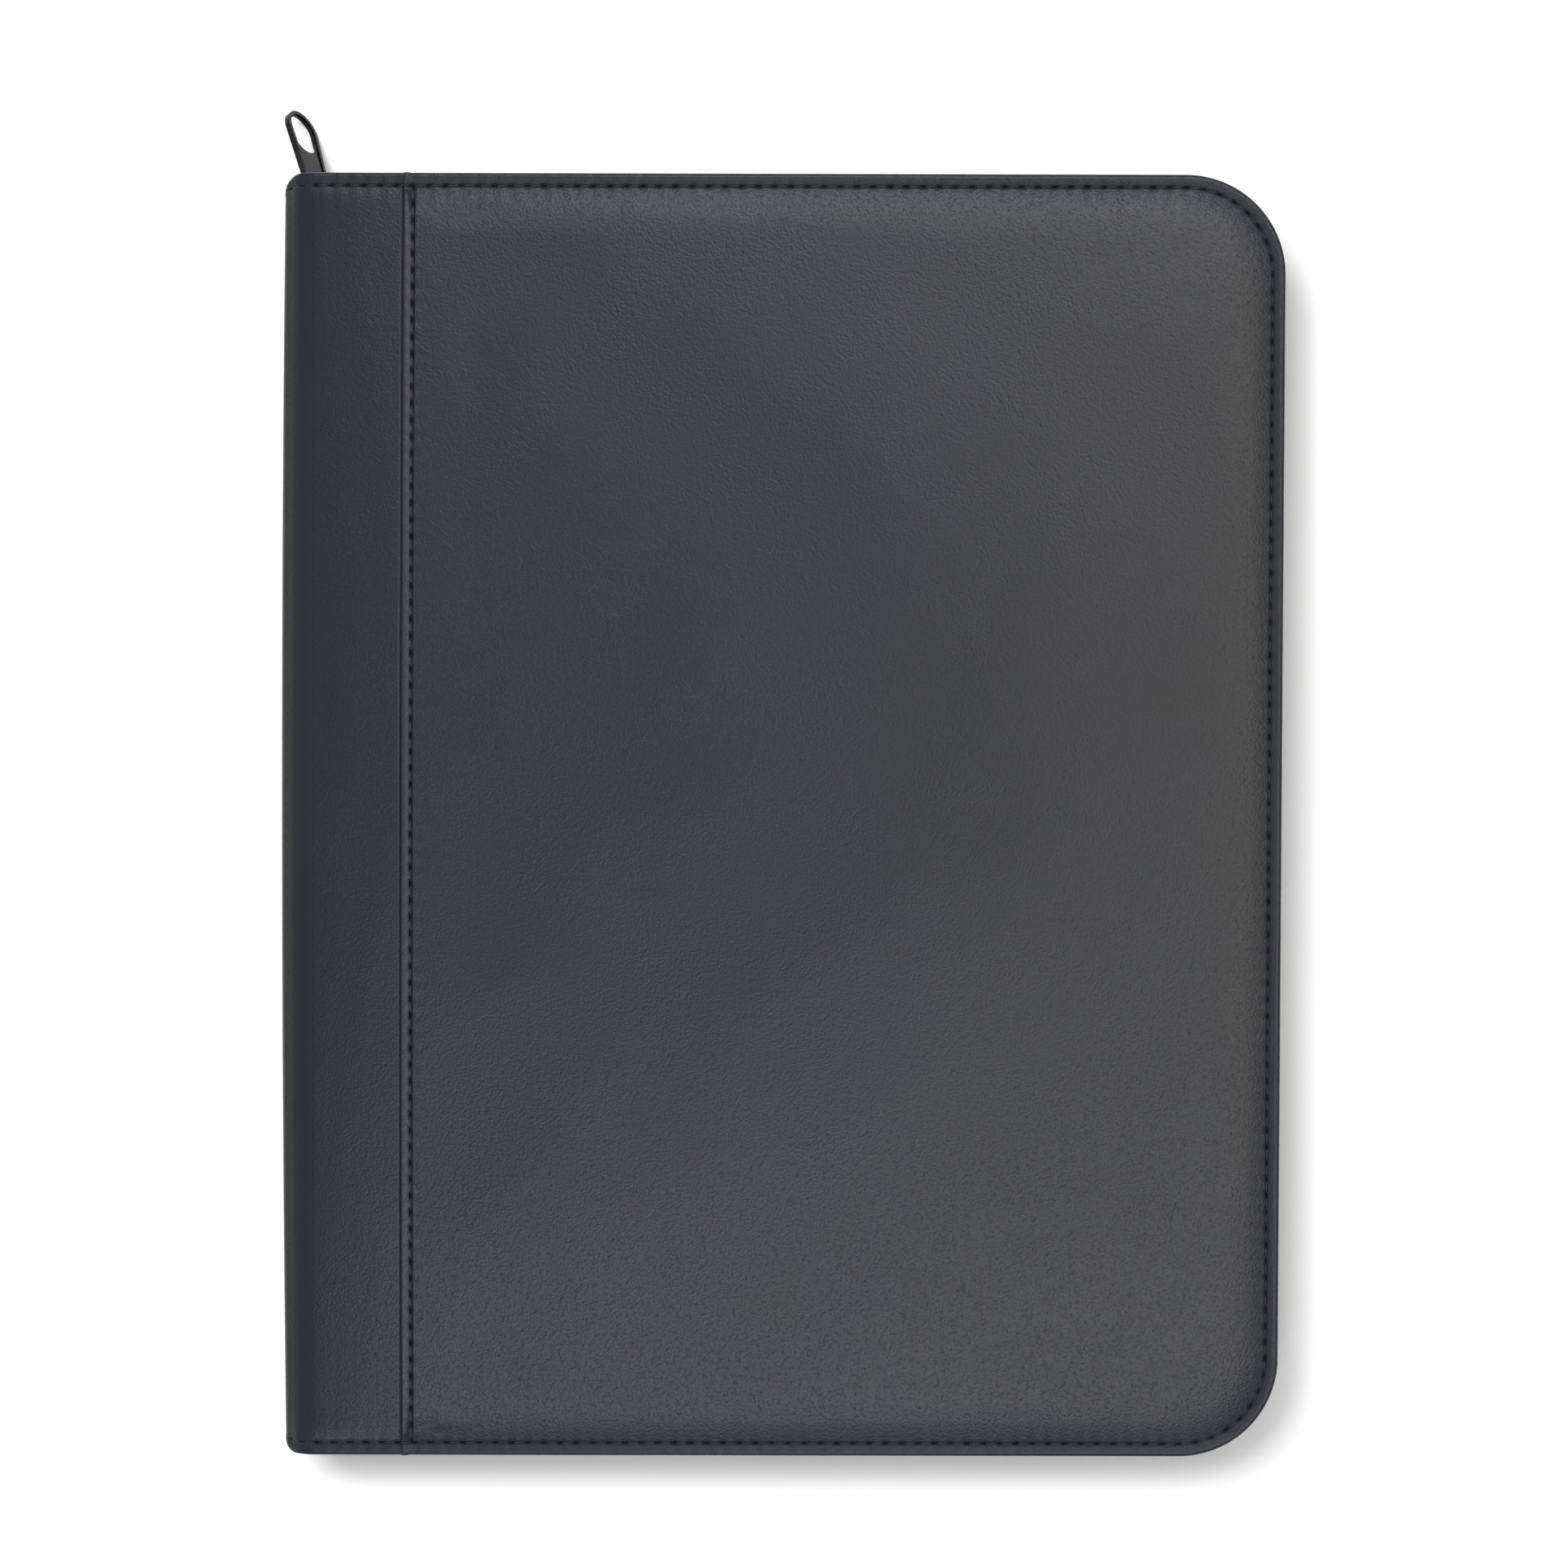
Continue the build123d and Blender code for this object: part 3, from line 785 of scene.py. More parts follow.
@dataclass(frozen=True)
class PaperFinish(Finish):
    """Paper: faint fibres, and ruled lines with a margin where they are asked for."""

    ruled: bool = False
    pitch: float = 0.0071
    head: float = 0.118
    margin: float = -0.068
    line_ink: Colour = (0.1, 0.2, 0.36)
    line_half: float = 0.00016
    margin_ink: Colour = (0.42, 0.08, 0.08)
    margin_half: float = 0.0002
    tooth: float = 0.00003

    def wire(self, w: Wiring, shader: bpy.types.Node) -> None:
        """Joins the finish's nodes to its shader.

        Args:
            w: Wiring of the material.
            shader: Shader of the material.
        """
        place = w.place()
        fibre = w.noise(place, 1500.0, 4.0)
        cloud = w.effect(Effects.mottle(), Vector=place, Scale=30.0)
        shade = w.math("MULTIPLY", fibre, cloud.outputs["Shade"])
        sheet = w.blend(shade, opaque(self.colour), opaque(self.colour, 0.93))
        if self.ruled:
            split = w.add("SeparateXYZ", {0: place})
            level = w.math("PINGPONG", w.math("SUBTRACT", split.outputs["Y"], self.head), self.pitch / 2)
            below = w.math("LESS_THAN", split.outputs["Y"], self.head + self.pitch / 4)
            line = w.math("MULTIPLY", w.math("LESS_THAN", level, self.line_half), below)
            sheet = w.blend(w.math("MULTIPLY", line, 0.65), sheet, opaque(self.line_ink))
            edge = w.math("ABSOLUTE", w.math("SUBTRACT", split.outputs["X"], self.margin))
            rule = w.math("LESS_THAN", edge, self.margin_half)
            sheet = w.blend(w.math("MULTIPLY", rule, 0.6), sheet, opaque(self.margin_ink))
        w.feed(shader.inputs["Base Color"], sheet)
        rough = w.span(fibre, 0.3, 0.7, self.roughness - 0.05, self.roughness + 0.08)
        w.feed(shader.inputs["Roughness"], rough)
        w.feed(shader.inputs["Normal"], w.bump(fibre, self.tooth))


@dataclass(frozen=True)
class VinylFinish(Finish):
    """Clear vinyl with a faint ripple."""

    ripple: float = 0.0004
    alpha: float = 0.2

    def wire(self, w: Wiring, shader: bpy.types.Node) -> None:
        """Joins the finish's nodes to its shader.

        Args:
            w: Wiring of the material.
            shader: Shader of the material.
        """
        place = w.place()
        ripple = w.noise(place, 60.0, 3.0)
        haze = w.effect(Effects.mottle(), Vector=place, Scale=40.0).outputs["Shade"]
        w.feed(shader.inputs["Base Color"], w.blend(haze, opaque(self.colour), opaque(self.colour, 0.92)))
        w.feed(shader.inputs["Roughness"], w.span(haze, 0.0, 1.0, self.roughness, self.roughness + 0.1))
        w.feed(shader.inputs["Normal"], w.bump(ripple, self.ripple))
        shader.inputs["Alpha"].default_value = self.alpha
        shader.inputs["IOR"].default_value = 1.5


COVER_LEATHER = LeatherFinish("cover_leather", (0.0066, 0.0072, 0.0118), 0.34, 0.5)
# The spine's copy of the cover leather is darker and a little less glossy: painted shade.
SHADED_SPINE_LEATHER = LeatherFinish("spine_leather", (0.0058, 0.0064, 0.0112), 0.34, 0.47)
POCKET_LEATHER = LeatherFinish("pocket_leather", (0.0095, 0.0098, 0.0125), 0.42, 0.42)
LINING_CLOTH = ClothFinish("lining_cloth", (0.03, 0.03, 0.032), 0.72, 0.2, warp=1500.0, weft=1500.0)
TAPE_CLOTH = ClothFinish(
    "tape_cloth", (0.014, 0.014, 0.015), 0.7, 0.25, warp=1300.0, weft=2600.0, follows_run=True
)
ELASTIC_CLOTH = ClothFinish(
    "elastic_cloth", (0.016, 0.016, 0.017), 0.75, 0.2, warp=800.0, weft=2400.0, follows_run=True
)
THREAD = ThreadFinish("sewing_thread", (0.016, 0.0165, 0.02), 0.45, 0.36)
TOOTH_RESIN = EnamelFinish(
    "tooth_resin", (0.013, 0.013, 0.0135), 0.38, 0.5, metal=(0.05, 0.05, 0.05), rub=0.15
)
BLACK_ENAMEL = EnamelFinish("black_enamel", (0.002, 0.002, 0.002), 0.2, 0.14, rub=0.12)
GREY_BOARD = PaperFinish("grey_board", (0.3, 0.28, 0.25), 0.85, 0.2)
PAD_PAPER = PaperFinish("ruled_paper", (0.56, 0.55, 0.51), 0.72, 0.25, ruled=True)
BINDING_TAPE = ClothFinish("binding_tape", (0.02, 0.021, 0.03), 0.6, 0.3, warp=2200.0, weft=2200.0)
CLEAR_VINYL = VinylFinish("clear_vinyl", (0.3, 0.31, 0.32), 0.12, 0.5)


@dataclass(frozen=True)
class TurnedEdge:
    """Section of a cover's edge: leather turned round the board, and the stitched groove by its border."""

    border: float = STITCH_INSET - 0.32
    crown_start: float = STITCH_INSET + 0.35
    crown_end: float = 17.1
    crown_power: float = 2.6
    bead_side: float = 0.5
    bead_peak: float = 1.0
    bead_top: float = 0.55
    bead_shoulder: float = 0.63
    bead_low: float = 1.9
    bead_fall: float = 0.44
    groove: float = 1.14
    lip: float = TAPE_OUT - 0.1
    turned_rows: int = 10

    def rim(self) -> np.ndarray:
        """Section from the board's edge, round the lip and the border, to the stitched groove.

        Returns:
            Inset, depth and painted shade of each row.
        """
        # Third value of each row: painted shade, dark on the edge's outer wall, under the lip and in the
        # stitched groove; it also grows darker down the border's inner slope.
        hidden = [(LEATHER, BOARD_OUT, 0.5), (LEATHER, BOARD_IN, 0.5)]
        hidden += [(self.lip, BOARD_IN, 0.5), (self.lip, FLANGE_IN, 0.2)]
        under = [(4.2, FLANGE_IN, 0.0), (2.2, FLANGE_IN, 0.0), (0.6, FLANGE_IN, 0.3)]
        wall = [(0.18, 3.96, 0.8), (0.0, 3.55, 0.9), (0.0, 2.7, 0.95)]
        rise = self.bead_low - self.bead_shoulder
        outer = []
        for a in np.linspace(0.0, 0.92 * math.pi / 2, 8):
            # Painted shadow where the bead turns down to the outer wall.
            painted_shade = max(0.0, 0.95 - 1.4 * a)
            outer.append((self.bead_side * (1 - math.cos(a)), self.bead_low - rise * math.sin(a), painted_shade))
        drop = self.bead_shoulder - self.bead_top
        for share in (0.25, 0.5, 0.75, 1.0):
            inset = self.bead_side + (self.bead_peak - self.bead_side) * share
            outer.append((inset, self.bead_top + drop * (1.0 - share) ** 1.4, 0.0))
        inner = []
        # Darker down the border's inner slope.
        for share in np.linspace(0.0, 1.0, 8)[1:]:
            inset = self.bead_peak + (self.border - self.bead_peak) * share
            inner.append((inset, self.bead_top + self.bead_fall * share**1.4, 0.32 * share**0.5))
        # Painted shade in the stitched groove.
        sides = [(-0.17, 0.08, 0.1), (0.0, 0.0, 0.18), (0.17, 0.12, 0.1)]
        foot = [(STITCH_INSET + over, self.groove - lift, painted_shade) for over, lift, painted_shade in sides]
        return np.array(hidden + under + wall + outer + inner + foot)

    def crown(self, inset: Any) -> Any:
        """Share of the full crown at an inset from the edge."""
        t = np.clip((inset - self.crown_start) / (self.crown_end - self.crown_start), 0.0, 1.0)
        return 1.0 - (1.0 - t) ** self.crown_power

    def crown_rows(self) -> np.ndarray:
        """Insets of the rows over the crown's slope."""
        share = np.array([0.0, 0.02, 0.05, 0.09, 0.14, 0.2, 0.27, 0.35, 0.44, 0.54, 0.65, 0.77, 0.9, 1.0])
        return self.crown_start + share * (self.crown_end - self.crown_start)


EDGE = TurnedEdge()


@dataclass(frozen=True)
class Dent:
    """Shallow dent or wrinkle in the padded leather."""

    x: float
    y: float
    length: float
    width: float
    turn: float
    depth: float

    def at(self, x: np.ndarray, y: np.ndarray) -> np.ndarray:
        """Depth of the dent at places on the cover.

        Args:
            x: Places along x.
            y: Places along y.

        Returns:
            Depth at each place.
        """
        c, s = math.cos(self.turn), math.sin(self.turn)
        along = (x - self.x) * c + (y - self.y) * s
        across = (y - self.y) * c - (x - self.x) * s
        return self.depth * hump(along, 0.0, self.length) * hump(across, 0.0, self.width)


def seam_lean(y: np.ndarray) -> np.ndarray:
    """How far the lapped seam runs to the right of its mean line, as sewn in the photo."""
    return 1.8e-5 * y**2 + 0.003 * y - 0.42


def spine_bow(y: np.ndarray) -> np.ndarray:
    """How far the back of the spine bows out to the left, drawn in at its upper end."""
    return 1.05 * (1.0 - (y / TOP) ** 2) - 0.33 * (1.0 + y / TOP)


def pucker(phase: np.ndarray, inset: np.ndarray, seed: int) -> tuple[np.ndarray, np.ndarray]:
    """How far the stitches pull the leather down.

    Args:
        phase: Place along the sewing, in stitches.
        inset: Distance from the edge.
        seed: Seed of the stitches' uneven tension.

    Returns:
        Depth to add at each point, and the painted shade of its needle hole.
    """
    tension = np.random.default_rng(seed).uniform(0.7, 1.3, 700)
    nearest = np.round(phase).astype(int)
    pull = tension[nearest % len(tension)]
    off = np.abs(inset - STITCH_INSET)
    needle = pull * hump(phase - nearest, 0.0, NEEDLE_LONG) * hump(off, 0.0, NEEDLE_WIDE)
    gather = pull * np.cos(math.tau * phase) * np.exp(-off / 2.2)
    return 0.42 * needle + 0.05 * gather, np.clip(1.7 * needle - 0.25, 0.0, 1.0)


def paced(line: np.ndarray, pitch: float = STITCH) -> np.ndarray:
    """Points at even steps along a line.

    Args:
        line: Points of the line.
        pitch: Length of a step, changed a little to fit whole steps.

    Returns:
        The evenly spaced points.
    """
    gone = np.concatenate([[0.0], np.cumsum(np.linalg.norm(np.diff(line, axis=0), axis=1))])
    even = np.linspace(0.0, gone[-1], max(2, round(gone[-1] / pitch)) + 1)
    return np.column_stack([np.interp(even, gone, column) for column in line.T])


def stitches(holes: np.ndarray, up: np.ndarray, seed: int, rise: Any = 0.22, slant: float = 0.2) -> Patch:
    """Thread between needle holes, each stitch sunk at its ends.

    Args:
        holes: Points of the needle holes, in order.
        up: Direction out of the leather, for all holes or for each of them.
        seed: Seed of the small differences between stitches.
        rise: Height of a stitch's middle over the holes, for all stitches or for each of them.
        slant: How far a stitch lies across its line.

    Returns:
        All stitches as one patch.
    """
    rng = np.random.default_rng(seed)
    count = len(holes) - 1
    half = np.array([0.12, 0.15, 0.2, 0.28, 0.38])
    share = np.concatenate([half, [0.5], 1.0 - half[::-1]])
    arch = np.sin(math.pi * (share - half[0]) / (1.0 - 2.0 * half[0]))
    sides = 7
    along = np.diff(holes, axis=0)
    forward = along / np.linalg.norm(along, axis=1, keepdims=True)
    out = np.broadcast_to(up, holes.shape)
    out = out[:-1] + out[1:]
    out = out / np.linalg.norm(out, axis=1, keepdims=True)
    across = np.cross(out, forward)
    height = np.broadcast_to(rise, (count,))[:, None] * rng.uniform(0.85, 1.15, (count, 1))
    lift = height * arch**0.6 - 0.4 * (1 - arch) ** 2
    lean = slant * rng.uniform(0.4, 1.4, (count, 1)) * (share - 0.5)
    line = holes[:-1, None] + along[:, None] * share[:, None] + out[:, None] * lift[..., None]
    line = line + across[:, None] * lean[..., None]
    turn = np.linspace(0.0, math.tau, sides, endpoint=False)
    thick = THREAD_RADIUS * (0.5 + 0.5 * arch**0.5)
    ring = np.cos(turn)[None, :, None] * across[:, None] + np.sin(turn)[None, :, None] * out[:, None]
    tube = line[:, :, None] + thick[None, :, None, None] * ring[:, None]
    single = Patch.grid(tube[0], closed=True, flip=True, caps=True)
    size = len(share) * sides
    faces = [[i + number * size for i in face] for number in range(count) for face in single.faces]
    run = np.zeros((count * size, 3))
    run[:, 0] = np.tile(np.repeat(share * STITCH, sides), count)
    run[:, 1] = np.tile(turn * THREAD_RADIUS, count * len(share))
    return Patch(tube.reshape(-1, 3), faces, run)


@dataclass
class CoverLeather:
    """Padded leather of one cover: stitched edge, soft crown, and the lap over the spine leather."""

    side: Side
    stitch_x: float = SEAM + 2.7
    welt_rise: float = 0.84
    welt_peak: float = 0.26
    welt_over_border: float = 0.3
    lap_share: float = 0.6
    shoulder: float = 0.4
    leg_stitches: int = 46
    corner_stitches: int = 8
    tall_stitches: int = 66
    seam_stitches: int = 76
    swell_height: float = 0.09
    dents: tuple = (
        Dent(-88.6, -157.6, 3.4, 0.55, 0.3, 0.3),
        Dent(-86.0, -155.6, 4.0, 1.1, 0.12, -0.16),
        Dent(-79.0, 153.0, 6.0, 2.2, 0.2, 0.14),
        Dent(40.0, 150.0, 22.0, 2.6, 0.0, 0.05),
        Dent(96.0, -148.0, 12.0, 3.5, 0.8, 0.06),
    )

    def plan(self) -> CoverPlan:
        """Outline of the padded part, with whole stitches on every side."""
        counts = (self.leg_stitches, self.corner_stitches, self.tall_stitches)
        return CoverPlan(SHOULDER, *(count * STEPS for count in counts))

    def lower_rows(self) -> np.ndarray:
        """Inset, depth and painted shade of the underside and of the turned edge."""
        below = [(TOP, BOARD_OUT, 0.0), (70.0, BOARD_OUT, 0.0), (20.0, BOARD_OUT, 0.0)]
        return np.concatenate([np.array(below), EDGE.rim()])

    def field(self) -> tuple[np.ndarray, np.ndarray]:
        """The padded part, from the seam's shoulder to the turned edge.

        Returns:
            Grid of x, y and depth, and the painted shade of its points.
        """
        plan = self.plan()
        lower = self.lower_rows()
        above = np.concatenate([EDGE.crown_rows(), np.linspace(EDGE.crown_end, TOP, 24)[1:]])
        slope = FACE * (1.0 - EDGE.crown(above))
        # Painted shade on the panel next to the stitched groove.
        shade = 0.1 * (1.0 - smooth(above, EDGE.crown_start, 4.0))
        rows = np.concatenate([lower, np.column_stack([above, slope, shade])])
        flat = plan.surface(rows[:, 0])
        x, y = flat[..., 0], flat[..., 1]
        inset = np.repeat(rows[:, :1], plan.columns, axis=1)
        outside = (np.arange(len(rows)) >= len(lower) - len(EDGE.rim()) + EDGE.turned_rows)[:, None]
        phase = np.repeat(np.arange(plan.columns)[None, :] / STEPS, len(rows), axis=0)
        pull, hole = pucker(phase, inset, 11)
        depth = rows[:, 1:2] + outside * pull
        padded = outside * smooth(inset, 4.2, 8.0)
        soft = padded * smooth(inset, 6.0, 30.0) * smooth(x, SHOULDER, SHOULDER + 14.0)
        depth = depth - self.swell_height * soft * np.minimum(swell(x, y, 46.0, 5) - 0.6, 0.0)
        for dent in self.dents:
            depth = depth + dent.at(x, y) * padded * smooth(x, SHOULDER, SHOULDER + 3.0)
        # Painted shade of the rows and of the needle holes.
        painted_shade = 1.0 - (1.0 - rows[:, 2:]) * (1.0 - outside * hole)
        return np.dstack([flat, depth]), painted_shade

    def seam(self) -> tuple[np.ndarray, np.ndarray]:
        """The strip along the seam: shoulder, stitched groove, and the folded welt.

        Returns:
            Grid of x, y and depth, and the painted shade of its points.
        """
        lower = self.lower_rows()
        reach = TOP - EDGE.crown_start
        lines = np.linspace(-reach, reach, self.seam_stitches * STEPS + 1)
        ends = TOP - lower[:, 0]
        y = np.concatenate([-ends, lines, ends[::-1]])
        base = np.concatenate([lower[:, 1], np.zeros(len(lines)), lower[::-1, 1]])
        edge_painted_shade = np.concatenate([lower[:, 2], np.zeros(len(lines)), lower[::-1, 2]])
        number = np.arange(len(lower))
        shown = number >= len(lower) - len(EDGE.rim()) + EDGE.turned_rows
        top = np.concatenate([shown, np.ones(len(lines), bool), shown[::-1]])
        middle = np.zeros(len(y), bool)
        middle[len(lower):-len(lower)] = True
        foot = self.stitch_x - 0.42
        near = self.stitch_x + 0.2
        slope = near + (SHOULDER - 0.6 - near) * np.linspace(1.0, 0.0, 13) ** 2
        groove = self.stitch_x + np.array([0.15, 0.0, -0.15, -0.3])
        welt = SEAM + (foot - SEAM) * (1 - np.cos(np.linspace(math.pi, 0.0, 14))) / 2
        x = np.concatenate([slope, groove, welt, [SEAM + 0.05, SEAM + 0.3]])
        fold = np.zeros(len(x))
        fold[-2:] = (0.3, 0.62)
        crown = 1.0 - (1.0 - np.clip((x - near) / self.shoulder, 0.0, 1.0)) ** 2.2
        place = np.clip((x - SEAM) / (foot - SEAM), 0.0, 1.0)
        rounding = 1.0 - (1.0 - np.minimum(place / self.welt_peak, 1.0)) ** 3.6
        beyond = np.maximum((place - self.welt_peak) / (1.0 - self.welt_peak), 0.0) ** 1.6
        bead = rounding - beyond
        bead[-2:] = 0.0
        lift = self.lap_share * beyond + (1.0 - self.lap_share) * crown
        inset = TOP - np.abs(y)
        phase = (y + reach) / (2 * reach) * self.seam_stitches
        needle = hump(phase - np.round(phase), 0.0, NEEDLE_LONG)
        notch = hump(x, self.stitch_x, 0.2)
        gather = np.exp(-np.abs(x - self.stitch_x) / 1.6)
        rise = self.welt_over_border + (self.welt_rise - self.welt_over_border) * smooth(inset, 3.8, 6.0)
        padded = FACE - FACE * np.outer(lift, EDGE.crown(inset)) - np.outer(bead, rise)
        padded = padded + np.outer(notch, 0.06 + 0.68 * needle)
        padded = padded + 0.05 * np.outer(gather, np.cos(math.tau * phase))
        held = 1.0 - smooth(x, self.stitch_x + 0.4, SHOULDER - 0.6)
        moved = x[:, None] + np.outer(held, seam_lean(y))
        pull, hole = pucker((moved - SHOULDER) / STRIP_PITCH, np.repeat(inset[None, :], len(x), axis=0), 11)
        border = base + top * (pull - self.welt_over_border * bead[:, None])
        depth = np.where(middle, padded, border) + np.outer(fold, top)
        bulge = 0.12 * np.outer(bead, top * (1.0 - smooth(inset, 0.6, 3.0)) * np.sign(y))
        points = np.dstack(np.broadcast_arrays(moved, y[None, :] + bulge, depth))
        # Painted shade in the seam's needle holes, and painted shadow of the step at the fold.
        stitched = np.outer(notch, np.clip(1.7 * needle - 0.25, 0.0, 1.2)) * middle
        stitched = np.clip(stitched, 0.0, 1.0)
        step = np.outer(hump(x, SEAM, 0.2), 0.45 * top * smooth(inset, 0.2, 1.5))
        # Share left free of the painted shade of the edge, the holes and the step.
        unshaded = (1.0 - edge_painted_shade) * (1.0 - stitched) * (1.0 - step) * (1.0 - hole * ~middle * top)
        return points, 1.0 - unshaded

    def skin(self) -> Patch:
        """The whole leather as one closed skin.

        Returns:
            The skin as one patch.
        """
        field, field_painted_shade = self.field()
        seam, seam_painted_shade = self.seam()
        first = Patch.grid(field, painted_shade=field_painted_shade)
        second = Patch.grid(seam, painted_shade=seam_painted_shade)
        shift = len(first.points)
        index = np.arange(shift).reshape(field.shape[:2])
        line = np.concatenate([index[:, 0], index[::-1, -1]])
        lower = len(self.lower_rows())
        place = np.arange(float(lower))
        tall = lower + (field[lower:, 0, 1] + TOP) / TOP
        mirrored = lower + (field[lower:, -1, 1][::-1] + TOP) / TOP
        far = lower + 2.0 + place
        field_place = np.concatenate([place, tall, mirrored, far])
        seam_tall = lower + (seam[0, lower:-lower, 1] + TOP) / TOP
        seam_place = np.concatenate([place, seam_tall, far])
        seam_line = shift + np.arange(seam.shape[1])
        last = shift + np.arange(seam.size // 3).reshape(seam.shape[:2])[-1, :-1]
        faces = first.faces + [[i + shift for i in face] for face in second.faces]
        faces += zipped(line, seam_line, field_place, seam_place) + [last.tolist()]
        if self.side is Side.BACK:
            faces = [face[::-1] for face in faces]
        points = np.concatenate([first.points, second.points])
        points[:, 2] = self.side.height(points[:, 2])
        return Patch(points, faces, np.concatenate([first.run, second.run]))

    def edge_holes(self) -> np.ndarray:
        """Needle holes along the border, from the lower fold of the spine to the upper one.

        Returns:
            Points of the holes, in order.
        """
        ring = self.plan().loop(STITCH_INSET)[::STEPS]
        strip = np.linspace(FOLD, SHOULDER, STRIP_STITCHES + 1)[:-1]
        low = np.column_stack([strip, np.full(len(strip), STITCH_INSET - TOP)])
        flat = np.concatenate([low, ring, low[::-1] * (1.0, -1.0)])
        return np.column_stack([flat, np.full(len(flat), self.side.height(EDGE.groove + 0.1))])

    def seam_holes(self) -> np.ndarray:
        """Needle holes along the lapped seam.

        Returns:
            Points of the holes, in order.
        """
        reach = TOP - EDGE.crown_start
        y = np.linspace(-reach, reach, self.seam_stitches + 1)
        level = FACE * (1.0 - self.lap_share * EDGE.crown(TOP - np.abs(y))) + 0.24
        return np.column_stack([self.stitch_x + seam_lean(y), y, self.side.height(level)])

    def build(self) -> list[bpy.types.Object]:
        """Makes the leather and its stitches and rides them on the cover.

        Returns:
            The new pieces.
        """
        name = self.side.value
        leather = sewn(f"{name}_panel_leather", [self.skin()], COVER_LEATHER, weld=True)
        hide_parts(f"{name}_panel", f"{name}_foam")
        up = np.array([0.0, 0.0, self.side.up])
        edge = self.edge_holes()
        middle = (edge[:-1, 0] + edge[1:, 0]) / 2
        rise = 0.22 + 0.4 * hump(middle, SEAM + 1.2, 1.5)
        border = sewn(f"{name}_edge_stitches", [stitches(edge, up, 21, rise)], THREAD)
        seam = sewn(f"{name}_seam_stitches", [stitches(self.seam_holes(), up, 22, 0.2, 0.3)], THREAD)
        for piece in (leather, border, seam):
            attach(piece, self.side.body)
        return [leather, border, seam]


@dataclass
class SpineLeather:
    """Leather from one cover's seam, round the fold, to the middle of the spine."""

    side: Side
    tuck: float = 0.7
    pad: float = 0.16
    droop: float = 0.8
    spring: float = 14.0
    taper: float = 0.6
    low_corner: float = 3.4
    crease: float = 0.14
    # Painted shade where the fold turns down.
    worn_ridge_and_fold_shade: float = 0.7
    fold_stitches: int = 4
    lip_share: float = 0.28

    @property
    def wrap(self) -> float:
        """Length of leather from the fold's start to the middle of the spine."""
        return FOLD_RADIUS * math.pi / 2 + MIDDLE - FACE - FOLD_RADIUS

    def section(self, u: np.ndarray) -> tuple[np.ndarray, np.ndarray]:
        """Line of the leather's outer face in x and depth.

        Args:
            u: Length along the leather from the fold's start; less than 0 on the flat strip.

        Returns:
            Points and outward directions, both in x and depth.
        """
        turn = np.clip(u / FOLD_RADIUS, 0.0, math.pi / 2)
        straight = np.maximum(u - FOLD_RADIUS * math.pi / 2, 0.0)
        x = FOLD - np.minimum(u, 0.0) - FOLD_RADIUS * np.sin(turn)
        depth = FACE + FOLD_RADIUS * (1 - np.cos(turn)) + straight
        out = np.column_stack([-np.sin(turn), -np.cos(turn)])
        return np.column_stack([x, depth]), out

    def cut(self, x: np.ndarray, radius: float) -> np.ndarray:
        """How far a rounded corner shortens the spine at places across it."""
        over = np.clip(LEFT + radius - x, 0.0, radius)
        return radius - np.sqrt(np.maximum(radius**2 - over**2, 0.0))

    def lean(self, x: np.ndarray, y: np.ndarray) -> np.ndarray:
        """How far the leaning seam takes the strip along, less and less towards the fold."""
        return np.outer(np.clip((x - FOLD) / (SEAM - FOLD), 0.0, 1.0), seam_lean(y))

    def sag(self, u: np.ndarray, inset: np.ndarray) -> np.ndarray:
        """How far the unpadded leather sags towards the fold, inside its stitched ends.

        Args:
            u: Length along the leather, one for each row.
            inset: Distance from the end of the spine, for each column.

        Returns:
            Sag of each row and column.
        """
        strip = SEAM - FOLD
        dip = np.clip(1.0 + u / strip, 0.0, 1.0) ** 2
        t = np.clip(u / self.spring, 0.0, 1.0)
        carried = 2.0 * self.spring / strip * t * (1.0 - t) ** 2
        share = dip - smooth(u, 0.0, self.spring) + carried
        return self.droop * np.outer(share, smooth(inset, EDGE.crown_start, EDGE.crown_start + 9.0))

    def spots(self, u: np.ndarray, inset: np.ndarray, depth: np.ndarray, sign: np.ndarray) -> np.ndarray:
        """Points on the leather.

        Args:
            u: Length along the leather, one for each row.
            inset: Distance from the end of the spine, for each column.
            depth: Depth below the level of the cover's face, for each row and column.
            sign: Place of each column from -1 at the lower end to 1 at the upper one.

        Returns:
            Grid of points.
        """
        line, out = self.section(u)
        upper = self.cut(line[:, 0], SPINE_CORNER)[:, None]
        lower = self.cut(line[:, 0], self.low_corner)[:, None]
        cut = np.where(sign > 0.0, upper, lower)
        reach = TOP - cut * (1.0 - self.taper * np.clip(inset / STITCH_INSET, 0.0, 1.0))
        bent = smooth(u, 0.0, FOLD_RADIUS * math.pi / 4)[:, None]
        thin = 1.0 - (1.0 - self.lip_share) * bent
        depth = np.where(depth > BOARD_OUT, BOARD_OUT + (depth - BOARD_OUT) * thin, depth)
        depth = np.where(depth < FACE, FACE - (FACE - depth) * (1.0 - 0.75 * bent), depth)
        rise = FACE - depth - self.sag(u, inset) * (np.abs(sign) < 1.0) * (depth < BOARD_OUT)
        x = line[:, :1] + out[:, :1] * rise
        below = line[:, 1:] + out[:, 1:] * rise
        y = np.where(np.abs(sign) < 1.0, sign * (reach - EDGE.crown_start), sign * (reach - inset))
        share = np.clip((line[:, :1] - FOLD) / (SEAM - FOLD), 0.0, 1.0)
        x = x + share * seam_lean(y) - spine_bow(y) * smooth(u, -15.0, 6.0)[:, None]
        return np.dstack([x, y, self.side.height(below)])

